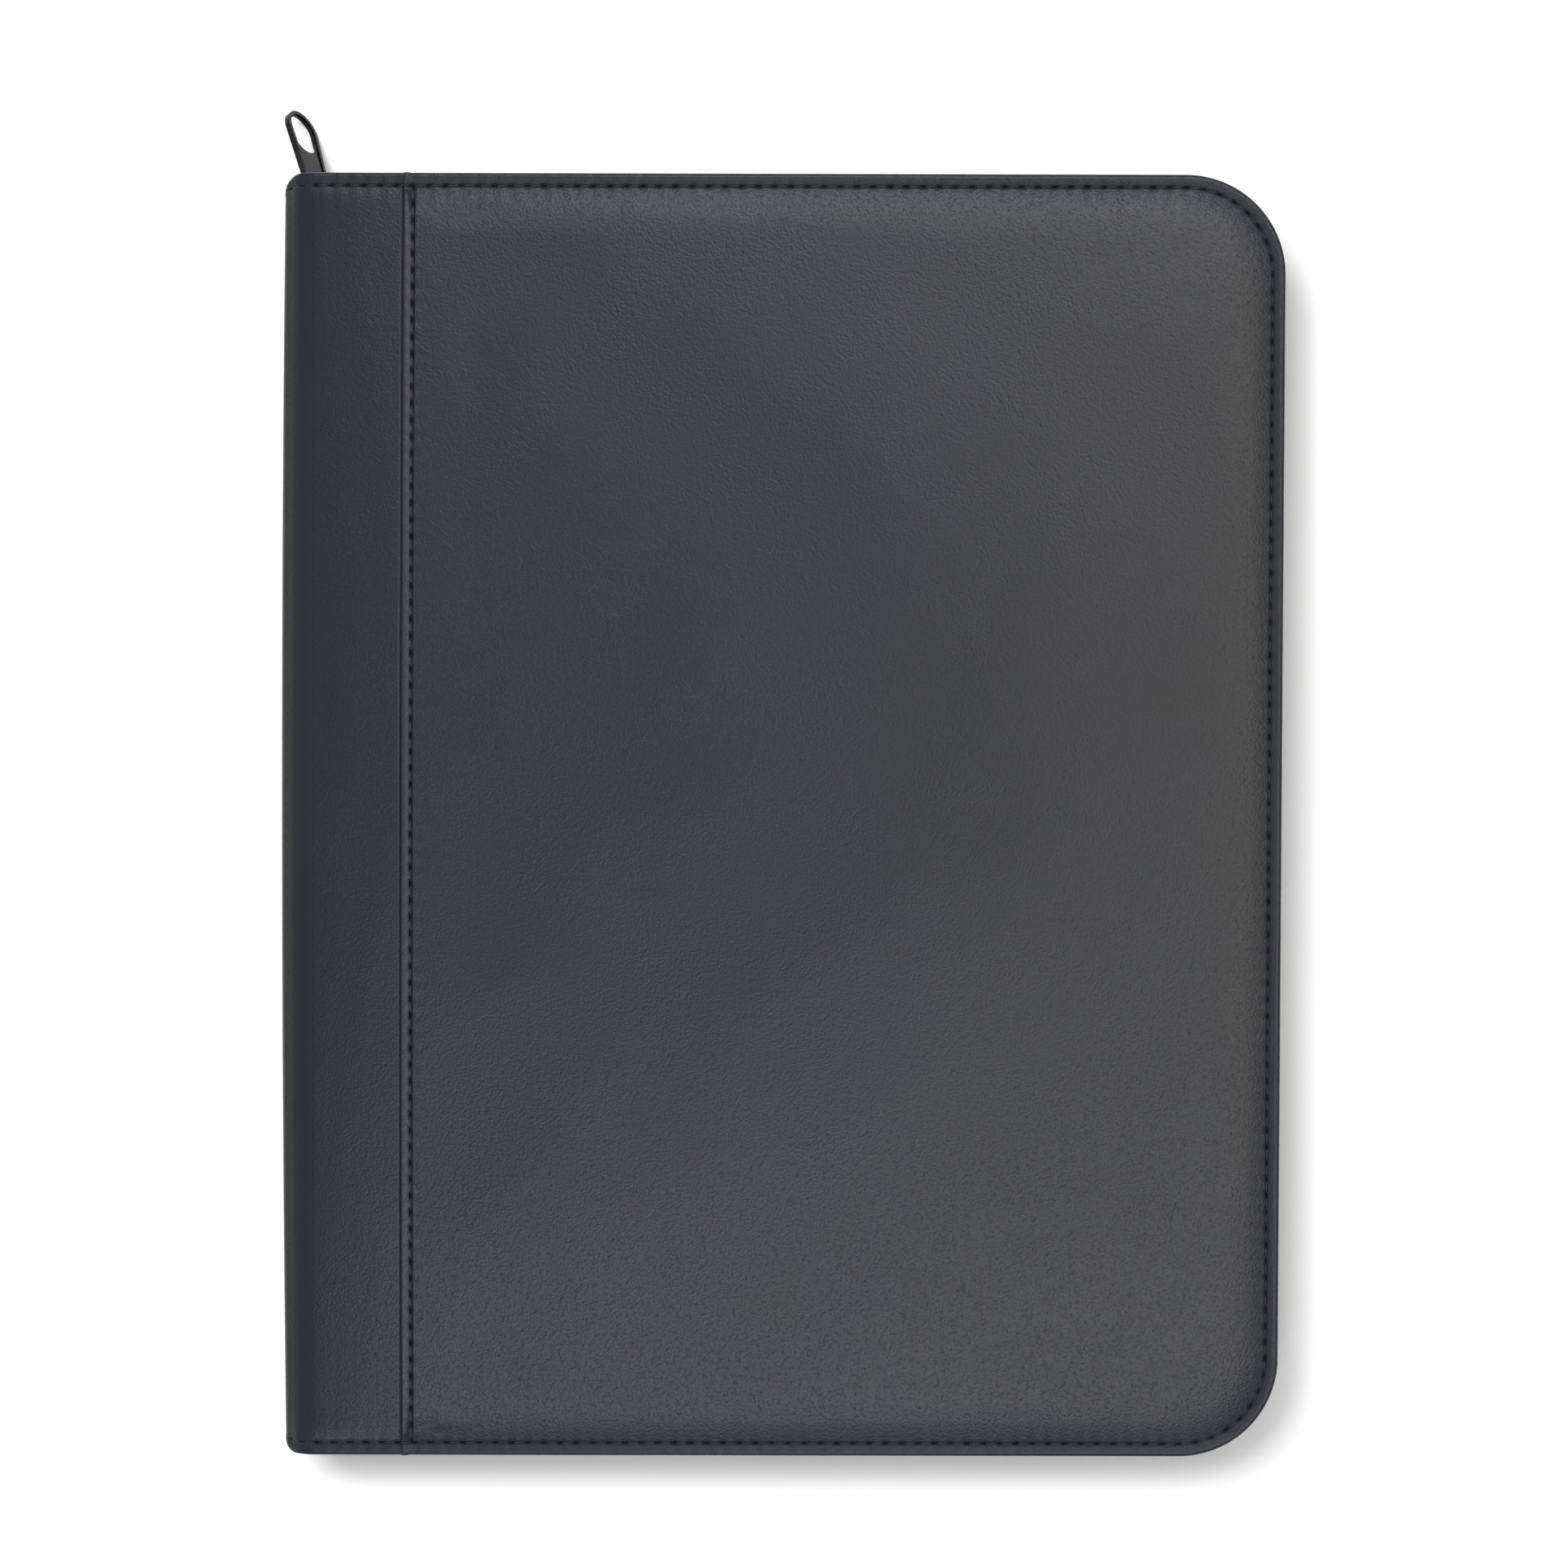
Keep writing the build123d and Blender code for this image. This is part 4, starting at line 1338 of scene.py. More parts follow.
    def leather(self) -> Patch:
        """Leather with its turned and stitched ends.

        Returns:
            The leather as one patch.
        """
        pitch = STRIP_PITCH / STEPS
        flat = -pitch * np.arange(math.floor((SEAM - FOLD) / pitch), 0, -1)
        close = FOLD - SEAM + np.array([-self.tuck, -0.25, 0.02, 0.16, 0.32, 0.55, 0.8])
        bend = np.linspace(0.0, self.wrap, self.fold_stitches * STEPS + 1)
        u = np.concatenate([close, flat[flat > close[-1] + 0.1], bend])
        rim = EDGE.rim()
        span = TOP - EDGE.crown_start
        near = np.array([0.0, 0.1, 0.3, 0.6, 1.1, 2.0, 3.5, 6.0, 11.0, 20.0, 34.0])
        ends = 1.0 - near / span
        across = np.concatenate([-ends, np.linspace(-0.7, 0.7, 21), ends[::-1]])
        across = np.clip(across, -0.99999, 0.99999)
        under = np.linspace(0.98, -0.98, 21)
        sign = np.concatenate([-np.ones(len(rim)), across, np.ones(len(rim)), under])
        inside = (1 - np.abs(across)) * span + EDGE.crown_start
        inset = np.concatenate([rim[:, 0], inside, rim[::-1, 0], np.full(len(under), LEATHER)])
        shown = np.arange(len(rim)) >= EDGE.turned_rows
        top = np.concatenate([shown, np.ones(len(across), bool), shown[::-1], np.zeros(len(under), bool)])
        middle = FACE - self.pad * smooth(inside, EDGE.crown_start - 0.4, EDGE.crown_start + 3.0)
        base = np.concatenate([rim[:, 1], middle, rim[::-1, 1], np.full(len(under), BOARD_OUT)])
        line, _ = self.section(u)
        strip = u[:, None] - self.lean(line[:, 0], sign * (TOP - inset))
        phase = np.where(strip < 0.0, strip / STRIP_PITCH, strip * self.fold_stitches / self.wrap)
        pull, hole = pucker(phase, np.repeat(inset[None, :], len(u), axis=0), 31)
        seam_side = np.outer(hump(line[:, 0], SEAM - 0.02, 0.2), smooth(inset, 0.3, 4.6) * top)
        depth = base + top * pull + self.crease * seam_side
        # Painted shade where the fold turns down, in the crease by the seam and in the needle holes; a
        # little darker at the stitched ends.
        close_by = 0.2 * (np.abs(across) > 0.998)
        painted_shade = np.concatenate([rim[:, 2], close_by, rim[::-1, 2], np.zeros(len(under))])
        worn_ridge_and_fold_shade = self.worn_ridge_and_fold_shade * hump(u, 1.08 * FOLD_RADIUS, 0.19 * FOLD_RADIUS)[:, None]
        painted_shade = 1.0 - (1.0 - painted_shade) * (1.0 - top * hole) * (1.0 - 0.7 * seam_side) * (1.0 - worn_ridge_and_fold_shade)
        points = self.spots(u, inset, depth, sign)
        return Patch.grid(points, closed=True, flip=self.side is Side.BACK, caps=True, painted_shade=painted_shade)

    def threads(self) -> list[Patch]:
        """Stitches round the fold at both ends.

        Returns:
            Lower and upper stitches.
        """
        u = np.linspace(0.0, self.wrap, self.fold_stitches + 1)
        _, out = self.section(u)
        up = np.column_stack([out[:, 0], np.zeros(len(u)), -out[:, 1] * self.side.up])
        depth = np.full((len(u), 2), EDGE.groove + 0.1)
        holes = self.spots(u, np.full(2, STITCH_INSET), depth, np.array([-1.0, 1.0]))
        return [stitches(holes[:, 0], up, 41), stitches(holes[:, 1], up, 42)]

    def build(self) -> list[bpy.types.Object]:
        """Makes the leather and its stitches.

        Returns:
            The new pieces.
        """
        name = self.side.value
        leather = sewn(f"spine_{name}_leather", [self.leather()], SHADED_SPINE_LEATHER)
        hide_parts(f"spine_{name}_strip", "spine_wall")
        thread = sewn(f"spine_{name}_stitches", self.threads(), THREAD)
        start = (FOLD * MM, 0.0, self.side.height(FACE) * MM)
        end = (LEFT * MM, 0.0, self.side.height(FACE + FOLD_RADIUS) * MM)
        for piece in (leather, thread):
            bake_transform(piece)
        return [leather, thread]


@dataclass
class ZipperHalf:
    """Woven tape of one zipper half; its teeth and stops stay as the frame has them."""

    side: Side
    bend_room: float = 7.3
    bend_centre: float = 9.9
    leg_columns: int = 240
    corner_columns: int = 16
    tall_columns: int = 140

    def tape(self) -> Patch:
        """Tape with a flange under the lining, a wall, and the corded edge that holds the teeth.

        Returns:
            The tape as one patch.
        """
        plan = CoverPlan(TAPE_END, self.leg_columns, self.corner_columns, self.tall_columns)
        flange = [(FLANGE_END, BOARD_IN + 0.03), (TAPE_OUT + 0.25, BOARD_IN + 0.03)]
        wall = [(0.0, 3.95), (-0.06, 5.0), (-0.08, 6.4), (-0.05, 7.8), (0.0, 8.9)]
        outside = [(TAPE_OUT + over, depth) for over, depth in wall]
        rising = [(-0.35, 9.15), (-0.37, 9.38), (-0.2, 9.6), (0.0, 9.66)]
        falling = [(-over, depth) for over, depth in rising[-2::-1]]
        cord = [(ZIP_INSET + over, depth) for over, depth in rising + falling]
        slope = [(0.0, 8.9), (0.02, 7.2), (0.0, 5.6), (0.05, 4.7), (0.23, 4.25), (0.65, 4.08)]
        inside = [(TAPE_IN + over, depth) for over, depth in slope]
        section = np.array(flange + outside + cord + inside + [(FLANGE_END, 4.06)])
        flat = plan.surface(section[:, 0])
        x, y = flat[..., 0], flat[..., 1]
        gone = 1.0 - smooth(x, FOLD - 0.4, FOLD + 2.5)
        extra = np.maximum(section[:, :1] - TAPE_IN, 0.0) * gone
        y = y + np.sign(y) * extra
        room = np.sqrt(np.maximum(self.bend_room**2 - np.minimum(x - FOLD, 0.0) ** 2, 0.7**2))
        depth = np.maximum(np.repeat(section[:, 1:], plan.columns, axis=1), self.bend_centre - room)
        points = np.transpose(np.dstack([x, y, self.side.height(depth)]), (1, 0, 2))
        return Patch.grid(points, closed=True, flip=self.side is Side.FRONT, caps=True)

    def build(self) -> list[bpy.types.Object]:
        """Makes the tape.

        Returns:
            The new piece.
        """
        name = self.side.value
        tape = sewn(f"{name}_tape_cloth", [self.tape()], TAPE_CLOTH)
        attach(tape, self.side.body)
        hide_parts(f"{name}_zipper_tape")
        return [tape]


@dataclass
class CoverLining:
    """Lining cloth of one cover with its hem sewn down round the zipper tape."""

    side: Side
    left: float = FOLD + 0.1
    edge: float = TAPE_IN + 0.3
    hem: float = 2.2
    leg_stitches: int = 52
    corner_stitches: int = 6
    tall_stitches: int = 65

    def plan(self, steps: int) -> CoverPlan:
        """Outline of the lining, with so many columns for a stitch."""
        counts = (self.leg_stitches, self.corner_stitches, self.tall_stitches)
        return CoverPlan(self.left, *(count * steps for count in counts))

    def cloth(self) -> Patch:
        """Lining from its hem to the middle of the cover, closed along the spine.

        Returns:
            The lining as one patch.
        """
        plan = self.plan(3)
        step = FLANGE_END + 0.1
        laid = [(inset, BOARD_IN + 0.02) for inset in (TOP, step + 0.1)]
        under = laid + [(step, FLANGE_IN), (self.edge + 0.2, FLANGE_IN)]
        turned = [(self.edge, 4.24), (self.edge + 0.04, 4.42), (self.edge + 0.25, STACK + 0.04)]
        groove = [(-1.2, 0.05), (-0.5, 0.04), (-0.2, -0.02), (0.0, -0.07), (0.2, -0.02), (0.6, 0.0)]
        hem = [(self.edge + self.hem + over, STACK + depth) for over, depth in groove]
        middle = [(inset, STACK) for inset in (11.0, 15.0, 25.0, 40.0, 60.0, 90.0, 125.0, TOP)]
        rows = np.array(under + turned + hem + middle)
        flat = plan.surface(rows[:, 0])
        depth = np.repeat(rows[:, 1:], plan.columns, axis=1)
        soft = smooth(rows[:, :1], 9.5, 22.0) * (np.arange(len(rows)) >= len(under))[:, None]
        depth = depth - 0.05 * soft * (1.0 + swell(flat[..., 0], flat[..., 1], 60.0, 8)) / 2
        cloth = Patch.grid(np.dstack([flat, self.side.height(depth)]), flip=self.side is Side.FRONT)
        index = np.arange(depth.size).reshape(depth.shape)
        spine_edge = np.concatenate([index[:, 0], index[-2:0:-1, -1]]).tolist()
        cloth.faces.append(spine_edge[::-1] if self.side is Side.BACK else spine_edge)
        return cloth

    def thread(self) -> Patch:
        """Stitches along the hem.

        Returns:
            All stitches as one patch.
        """
        ring = self.plan(1).loop(self.edge + self.hem)
        holes = np.column_stack([ring, np.full(len(ring), self.side.height(STACK - 0.02))])
        return stitches(holes, np.array([0.0, 0.0, -self.side.up]), 51, 0.16)

    def build(self) -> list[bpy.types.Object]:
        """Makes the lining and its hem stitches.

        Returns:
            The new pieces.
        """
        name = self.side.value
        cloth = sewn(f"{name}_lining_cloth", [self.cloth()], LINING_CLOTH, weld=True)
        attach(cloth, self.side.body)
        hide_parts(f"{name}_lining")
        thread = sewn(f"{name}_hem_stitches", [self.thread()], THREAD)
        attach(thread, self.side.body)
        return [cloth, thread]


@dataclass
class HingeLining:
    """Lining over one fold of the spine, from the cover's lining to the middle of the spine."""

    side: Side
    overlap: float = 6.0
    cloth: float = 0.25
    reach: float = TOP - ZIP_INSET - 7.0
    wall: float = LEFT + LEATHER + 0.2

    def build(self) -> list[bpy.types.Object]:
        """Makes the cloth.

        Returns:
            The new piece.
        """
        name = self.side.value
        turn = np.linspace(0.0, math.pi / 2, 15)
        drop = FACE + FOLD_RADIUS - STACK
        flat = np.linspace(self.overlap, 0.5, 5)
        x = np.concatenate([FOLD + flat, FOLD - (FOLD - self.wall) * np.sin(turn), [self.wall, self.wall]])
        bend = STACK + drop * (1 - np.cos(turn))
        depth = np.concatenate([np.full(len(flat), STACK), bend, [11.0, MIDDLE]])
        line = np.column_stack([x, depth])
        along = np.gradient(line, axis=0)
        along = along / np.linalg.norm(along, axis=1, keepdims=True)
        inward = np.column_stack([along[:, 1], -along[:, 0]])
        y = np.linspace(-self.reach, self.reach, 62)
        thick = np.full(len(y), self.cloth)
        thick[[0, -1]] = 0.1
        thick[[1, 2, -2, -3]] = self.cloth + 0.12
        faces = []
        kept = np.outer(smooth(FOLD - x, -self.overlap, FOLD_RADIUS / 2), np.minimum(spine_bow(y), 0.0))
        for level in (np.full(len(y), 0.02), thick):
            spot = line[:, None] + inward[:, None] * level[None, :, None]
            height = self.side.height(spot[..., 1])
            faces.append(np.dstack([spot[..., 0] - kept, np.tile(y, (len(line), 1)), height]))
        loop = np.concatenate([faces[1], faces[0][:, ::-1]], axis=1)
        patch = Patch.grid(loop, closed=True, flip=self.side is Side.FRONT, caps=True)
        piece = sewn(f"spine_{name}_lining", [patch], LINING_CLOTH)
        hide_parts("spine_lining")
        start = (FOLD * MM, 0.0, self.side.height(FACE) * MM)
        end = (LEFT * MM, 0.0, self.side.height(FACE + FOLD_RADIUS) * MM)
        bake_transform(piece)
        return [piece]


@dataclass
class SewnPocket:
    """Flat pocket sewn on three sides, with a turned hem at its opening or a sight hole in its face."""

    node: str
    side: Side
    plan: BoxPlan
    base: float
    top: float
    hem: float = 8.0
    seam: float = 1.8
    hole: float = 0.0
    seed: int = 60

    def rows(self) -> np.ndarray:
        """Rows from the base to the middle or the sight hole.

        Returns:
            Inset and share of the full thickness of each row.
        """
        edge = [(0.35, 0.0), (0.0, 0.25), (0.0, 0.6), (0.1, 0.82), (0.3, 0.95), (0.6, 1.0), (1.2, 0.99)]
        groove = [(-0.3, 0.95), (0.0, 0.88), (0.3, 0.95), (1.0, 0.99), (2.4, 1.0)]
        seam = [(self.seam + over, share) for over, share in groove]
        if self.hole:
            ring = [(-3.0, 1.0), (-1.9, 0.98), (-1.6, 0.9), (-1.3, 0.98)]
            ring += [(-0.4, 1.0), (-0.1, 0.94), (0.0, 0.8), (0.0, 0.1)]
            return np.array(edge + seam + [(self.hole + over, share) for over, share in ring])
        half = min(self.plan.x1 - self.plan.x0, self.plan.y1 - self.plan.y0) / 2
        clear = 5.4
        shares = (0.0, 0.02, 0.04, 0.06, 0.09, 0.15, 0.3, 0.5, 0.75, 0.999)
        rest = [(clear + (half - clear) * share, 1.0) for share in shares]
        return np.array(edge + seam + rest)

    def leather(self) -> Patch:
        """Pocket face with its turned edges.

        Returns:
            The face as one patch.
        """
        rows = self.rows()
        flat = self.plan.surface(rows[:, 0])
        x, y = flat[..., 0], flat[..., 1]
        depth = self.base + (self.top - self.base) * np.repeat(rows[:, 1:], flat.shape[1], axis=1)
        shown = rows[:, 1:] > 0.7
        slack = smooth(rows[:, :1], 4.0, 18.0) * shown
        depth = depth - 0.1 * slack * (1.0 + swell(x, y, 42.0, self.seed)) / 2
        # Painted shade in the stitched grooves, and round the sight hole's stitches.
        painted_shade = 0.5 * hump(rows[:, :1], self.seam, 0.3) * shown
        if self.hole:
            painted_shade = np.maximum(painted_shade, 0.5 * hump(rows[:, :1], self.hole - 1.6, 0.3))
        painted_shade = np.repeat(painted_shade, flat.shape[1], axis=1)
        points = np.dstack([flat, self.side.height(depth)])
        patch = Patch.grid(points, closed=True, flip=self.side is Side.FRONT, caps=not self.hole, painted_shade=painted_shade)
        if self.hole:
            index = np.arange(depth.size).reshape(depth.shape)
            last, first = (np.append(line, line[0]) for line in (index[-1], index[0]))
            ring = np.stack([last[:-1], last[1:], first[1:], first[:-1]], axis=-1).tolist()
            patch.faces += [face[::-1] for face in ring] if self.side is Side.FRONT else ring
        return patch

    def band(self) -> Patch:
        """Turned hem along the opening, a second layer on the pocket's face.

        Returns:
            The hem as one patch.
        """
        p = self.plan
        plan = BoxPlan(p.x0 + 0.1, p.x1 - 0.1, p.y1 - self.hem, p.y1 + 0.1, 0.4, 0.6, 4.0)
        edge = [(0.2, -0.5), (0.0, -0.1), (0.0, 0.14), (0.12, 0.24), (0.35, 0.28)]
        seam = [(0.9, 0.28), (1.3, 0.22), (1.6, 0.28), (self.hem / 2, 0.28)]
        rows = np.array(edge + seam)
        flat = plan.surface(rows[:, 0])
        depth = self.top + np.repeat(rows[:, 1:], flat.shape[1], axis=1)
        points = np.dstack([flat, self.side.height(depth)])
        # Painted shade in the hem's stitched groove.
        painted_shade = np.repeat(0.5 * hump(rows[:, :1], 1.3, 0.25), flat.shape[1], axis=1)
        return Patch.grid(points, closed=True, flip=self.side is Side.FRONT, caps=True, painted_shade=painted_shade)

    def threads(self) -> list[Patch]:
        """Stitches round the sewn sides, and along the hem or round the sight hole.

        Returns:
            One patch for each run of stitches.
        """
        p = self.plan
        level = self.side.height(self.top - 0.08)
        runs = [(paced(p.pouch(self.seam)), level)]
        if self.hole:
            ring = p.loop(self.hole - 1.6)
            runs.append((paced(np.concatenate([ring, ring[:1]])), level))
        else:
            line = np.array([(p.x0 + 1.4, p.y1 - self.hem + 1.3), (p.x1 - 1.4, p.y1 - self.hem + 1.3)])
            runs.append((paced(line), self.side.height(self.top + 0.18)))
        up = np.array([0.0, 0.0, -self.side.up])
        made = []
        for number, (run, height) in enumerate(runs):
            holes = np.column_stack([run, np.full(len(run), height)])
            made.append(stitches(holes, up, self.seed + number, 0.14))
        return made

    def build(self) -> list[bpy.types.Object]:
        """Makes the pocket and its stitches.

        Returns:
            The new pieces.
        """
        patches = [self.leather()] if self.hole else [self.leather(), self.band()]
        leather = sewn(f"{self.node}_leather", patches, POCKET_LEATHER)
        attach(leather, self.side.body)
        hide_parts(self.node)
        thread = sewn(f"{self.node}_stitches", self.threads(), THREAD)
        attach(thread, self.side.body)
        return [leather, thread]


@dataclass
class WritingPad:
    """Ruled pad: a stack of sheets whose edges don't quite line up."""

    low: float = 6.0
    high: float = 11.0
    leaves: int = 25

    def stack(self) -> Patch:
        """Sheets with their edges, the top one slightly waved.

        Returns:
            The stack as one patch.
        """
        rng = np.random.default_rng(70)
        plan = BoxPlan(PAD_LEFT, PAD_RIGHT, -PAD_TOP, PAD_TOP, 0.6, 0.6, 6.0)
        leaf = (self.high - self.low) / self.leaves
        rows = [(0.5, self.low)]
        for number in range(self.leaves):
            out = rng.uniform(0.0, 0.22)
            base = self.low + number * leaf
            rows += [(out + 0.12, base + 0.02), (out, base + 0.05), (out, base + leaf - 0.03)]
        page = (0.25, 2.0, 12.0, 30.0, 60.0, 107.9)
        table = np.array(rows + [(inset, self.high) for inset in page])
        flat = plan.surface(table[:, 0])
        height = np.repeat(table[:, 1:], flat.shape[1], axis=1)
        top = (np.arange(len(table)) >= len(rows))[:, None]
        free = smooth(PAD_TOP - 20.0 - flat[..., 1], 0.0, 200.0) * top
        height = height + 0.12 * free * (swell(flat[..., 0], flat[..., 1], 90.0, 9) - 1.0)
        return Patch.grid(np.dstack([flat, height]), closed=True, caps=True)

    def build(self) -> list[bpy.types.Object]:
        """Makes the stack of sheets.

        Returns:
            The new piece.
        """
        pad = sewn("pad_paper", [self.stack()], PAD_PAPER, crease=35.0)
        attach(pad, Side.BACK.body)
        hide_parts("pad_sheets")
        return [pad]


@dataclass
class PenLoop:
    """Ribbed elastic loop sewn to the spine lining."""

    wall: float = LEFT + 1.4
    radius: float = 6.0
    strap: float = 0.8
    y0: float = 33.0
    y1: float = 57.0
    rib: float = 1.5

    def build(self) -> list[bpy.types.Object]:
        """Makes the loop.

        Returns:
            The new piece.
        """
        turn = np.linspace(0.0, math.tau, 96, endpoint=False)
        y = np.linspace(self.y0, self.y1, 65)
        edge = smooth(np.minimum(y - self.y0, self.y1 - y), -0.25, 0.5)
        ridge = 0.06 * np.cos(math.tau * (y - self.y0) / self.rib) * edge
        middle = self.radius - self.strap / 2
        half = self.strap / 2 * edge
        outer = middle + half - 0.06 + ridge
        inner = middle - half
        profile = np.concatenate([outer, inner[::-1], outer[:1]])
        place = np.concatenate([y, y[::-1], y[:1]])
        x = self.wall + self.radius + profile[:, None] * np.cos(turn)
        floor = np.where(np.arange(len(profile)) < len(y), 0.02, self.strap - 0.05)
        floor[-1] = 0.02
        x = np.maximum(x, self.wall + floor[:, None])
        z = MIDDLE + profile[:, None] * np.sin(turn)
        points = np.dstack([x, np.repeat(place[:, None], len(turn), axis=1), z])
        strap = Patch.grid(points, closed=True, flip=True)
        loop = sewn("pen_loop_elastic", [strap], ELASTIC_CLOTH, weld=True)
        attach(loop, "spine")
        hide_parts("pen_loop")
        return [loop]


@dataclass
class FrameNodes:
    """Finishes for the nodes that stay as the frame has them."""

    bevel: float = 0.16

    def dress(self, node: str, finish: Finish, bevel: float) -> bpy.types.Object:
        """Gives one node its finish and softens its edges.

        Args:
            node: Name of the node.
            finish: Its finish.
            bevel: Width of the softened edge; none at 0.

        Returns:
            The node's object.
        """
        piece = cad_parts[node]
        piece.data.materials.clear()
        piece.data.materials.append(finish.dress())
        if bevel:
            joined = piece.modifiers.new("joined", "WELD")
            joined.merge_threshold = 1e-6
            edge = piece.modifiers.new("edge", "BEVEL")
            edge.width = bevel * MM
            edge.segments = 2
            edge.limit_method = "ANGLE"
            edge.angle_limit = math.radians(32.0)
        return piece

    def build(self) -> list[bpy.types.Object]:
        """Dresses every node that isn't replaced.

        Returns:
            The nodes' objects.
        """
        plan = [
            ("front_board", GREY_BOARD, 0.0),
            ("back_board", GREY_BOARD, 0.0),
            ("front_zipper_teeth", TOOTH_RESIN, 0.14),
            ("back_zipper_teeth", TOOTH_RESIN, 0.14),
            ("front_zipper_stop", BLACK_ENAMEL, 0.14),
            ("back_zipper_stops", BLACK_ENAMEL, 0.14),
            ("slider_body", BLACK_ENAMEL, self.bevel),
            ("slider_bail", BLACK_ENAMEL, self.bevel),
            ("pull_tab", BLACK_ENAMEL, self.bevel),
            ("pad_backing", GREY_BOARD, 0.1),
            ("pad_binding", BINDING_TAPE, 0.1),
            ("id_window", CLEAR_VINYL, 0.05),
        ]
        return [self.dress(node, finish, bevel) for node, finish, bevel in plan]


@dataclass(frozen=True)
class FloorFinish(Finish):
    """Pale studio floor."""

    def wire(self, w: Wiring, shader: bpy.types.Node) -> None:
        """Joins the finish's nodes to its shader.

        Args:
            w: Wiring of the material.
            shader: Shader of the material.
        """
        cloud = w.effect(Effects.mottle(), Vector=w.place(), Scale=0.8).outputs["Shade"]
        w.feed(shader.inputs["Base Color"], w.blend(cloud, opaque(self.colour), opaque(self.colour, 0.99)))
        shader.inputs["Roughness"].default_value = self.roughness


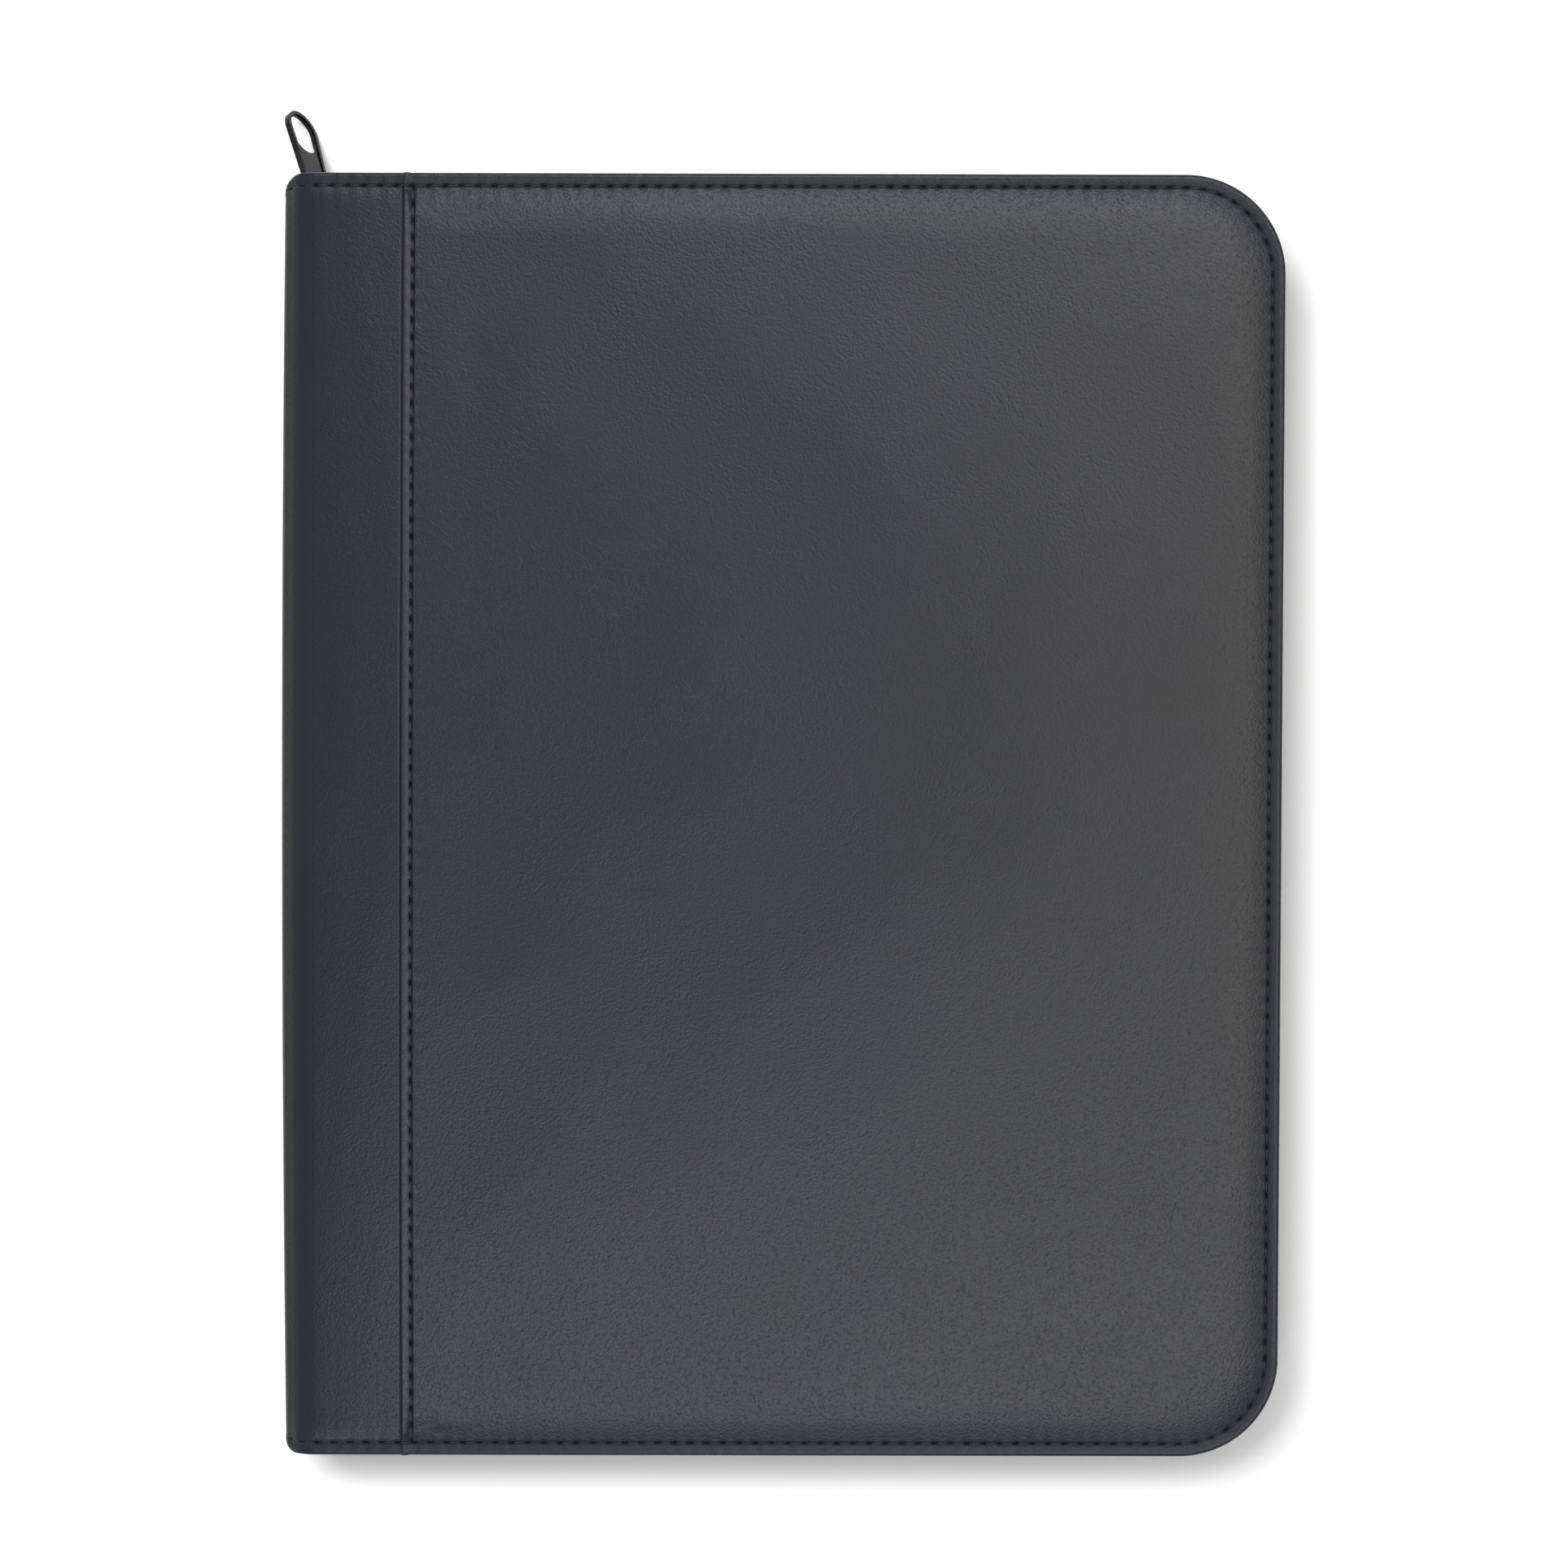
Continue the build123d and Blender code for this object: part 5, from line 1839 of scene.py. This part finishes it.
@dataclass
class Studio:
    """Floor, light and camera."""

    eye: tuple = (-1.4, 47.5, 1021.5)
    turn: tuple = (-2.22, -0.11, 0.14)
    lens: float = 90.0
    reach: float = 4.0

    def floor(self) -> None:
        """Wide pale floor under the case."""
        mesh = bpy.data.meshes.new("floor")
        r = self.reach
        mesh.from_pydata([(-r, -r, 0.0), (r, -r, 0.0), (r, r, 0.0), (-r, r, 0.0)], [], [(0, 1, 2, 3)])
        mesh.materials.append(FloorFinish("floor", (0.88, 0.88, 0.88), 0.7, 0.1).dress())
        floor = bpy.data.objects.new("floor", mesh)
        bpy.context.scene.collection.objects.link(floor)

    def lamp(
        self, name: str, place: Sequence[float], aim: Sequence[float], size: Sequence[float], power: float
    ) -> bpy.types.Object:
        """Adds one soft light.

        Args:
            name: Name of the light.
            place: Where it stands, in metres.
            aim: Point that it looks at, in metres.
            size: Width and height of its face, in metres.
            power: Power in watts.

        Returns:
            The light.
        """
        data = bpy.data.lights.new(name, "AREA")
        data.shape = "RECTANGLE"
        data.size, data.size_y = size
        data.energy = power
        lamp = bpy.data.objects.new(name, data)
        lamp.location = place
        away = np.array(place) - np.array(aim)
        tilt = math.atan2(math.hypot(away[0], away[1]), away[2])
        lamp.rotation_euler = (tilt, 0.0, math.atan2(away[0], -away[1]))
        bpy.context.scene.collection.objects.link(lamp)
        return lamp

    def build(self) -> None:
        """Sets up floor, lights, world and camera."""
        self.floor()
        key = self.lamp("key", (-0.74, 0.78, 1.85), (0.0, 0.0, 0.0), (0.95, 0.95), 44.0)
        key.visible_glossy = False
        self.lamp("top_box", (0.12, 0.6, 1.5), (0.08, 0.5, 0.0), (0.84, 0.42), 5.05)
        self.lamp("low_box", (0.07, -0.5, 1.5), (0.05, -0.4, 0.0), (0.86, 0.44), 3.6)
        right_box = self.lamp("right_box", (0.5, 0.0, 1.5), (0.5, 0.0, 0.0), (0.3, 0.6), 1.7)
        right_box.data.color = (1.0, 0.96, 0.7)
        self.lamp("left_box", (-1.3, 0.0, 1.0), (-0.12, 0.0, 0.0), (1.2, 1.6), 0.7)
        world = bpy.data.worlds.new("studio")
        world.use_nodes = True
        sky = world.node_tree.nodes["Background"]
        sky.inputs["Color"].default_value = (0.95, 0.97, 1.0, 1.0)
        sky.inputs["Strength"].default_value = 0.46
        bpy.context.scene.world = world
        data = bpy.data.cameras.new("camera")
        data.lens = self.lens
        data.sensor_width = 36.0
        camera = bpy.data.objects.new("camera", data)
        camera.location = [value * MM for value in self.eye]
        camera.rotation_euler = [math.radians(value) for value in self.turn]
        bpy.context.scene.collection.objects.link(camera)
        bpy.context.scene.camera = camera
        bpy.context.scene.view_settings.view_transform = "Standard"


def pockets() -> list[SewnPocket]:
    """Every sewn pocket of the case.

    Returns:
        The pockets.
    """
    corner = 6.0
    margin = 3.1
    sleeve_tall = 252.0
    low = -PAD_TOP - margin
    sleeve = BoxPlan(PAD_LEFT - margin, PAD_RIGHT + margin, low, low + sleeve_tall, corner)
    made = [SewnPocket("pad_pocket", Side.BACK, sleeve, STACK, 5.9)]
    card_wide = 98.0
    card_tall = 86.0
    tier_step = 14.0
    tier_thick = 1.1
    card_low = PAD_TOP - card_tall
    for tier in range(3):
        plan = BoxPlan(PAD_LEFT, PAD_LEFT + card_wide, card_low, PAD_TOP - tier_step * tier, corner)
        base = STACK + tier_thick * tier
        node = f"card_pocket_{tier + 1}"
        top = base + tier_thick - 0.15
        made.append(SewnPocket(node, Side.FRONT, plan, base, top, hem=6.0, seed=66 + 3 * tier))
    window_left = PAD_LEFT + 112.0
    window_tall = 76.0
    window = BoxPlan(window_left, PAD_RIGHT, PAD_TOP - window_tall, PAD_TOP, corner)
    made.append(SewnPocket("id_pocket_frame", Side.FRONT, window, STACK, 5.9, hole=11.0, seed=80))
    gap = 22.0
    papers = BoxPlan(PAD_LEFT, PAD_RIGHT, -PAD_TOP, card_low - gap, corner)
    made.append(SewnPocket("document_pocket", Side.FRONT, papers, STACK, 5.5, seed=63))
    return made


def main() -> None:
    """Builds every sub-assembly in order and reports its pieces."""
    logging.basicConfig(level=logging.INFO, format="%(name)s: %(message)s")
    kinds = (CoverLeather, SpineLeather, ZipperHalf, CoverLining, HingeLining)
    builders = [kind(side) for side in Side for kind in kinds]
    builders += pockets()
    builders += [WritingPad(), PenLoop(), FrameNodes()]
    for builder in builders:
        for piece in builder.build():
            LOG.info("%s: %d points", piece.name, len(piece.data.vertices))
    Studio().build()


if __name__ == "__main__":
    main()
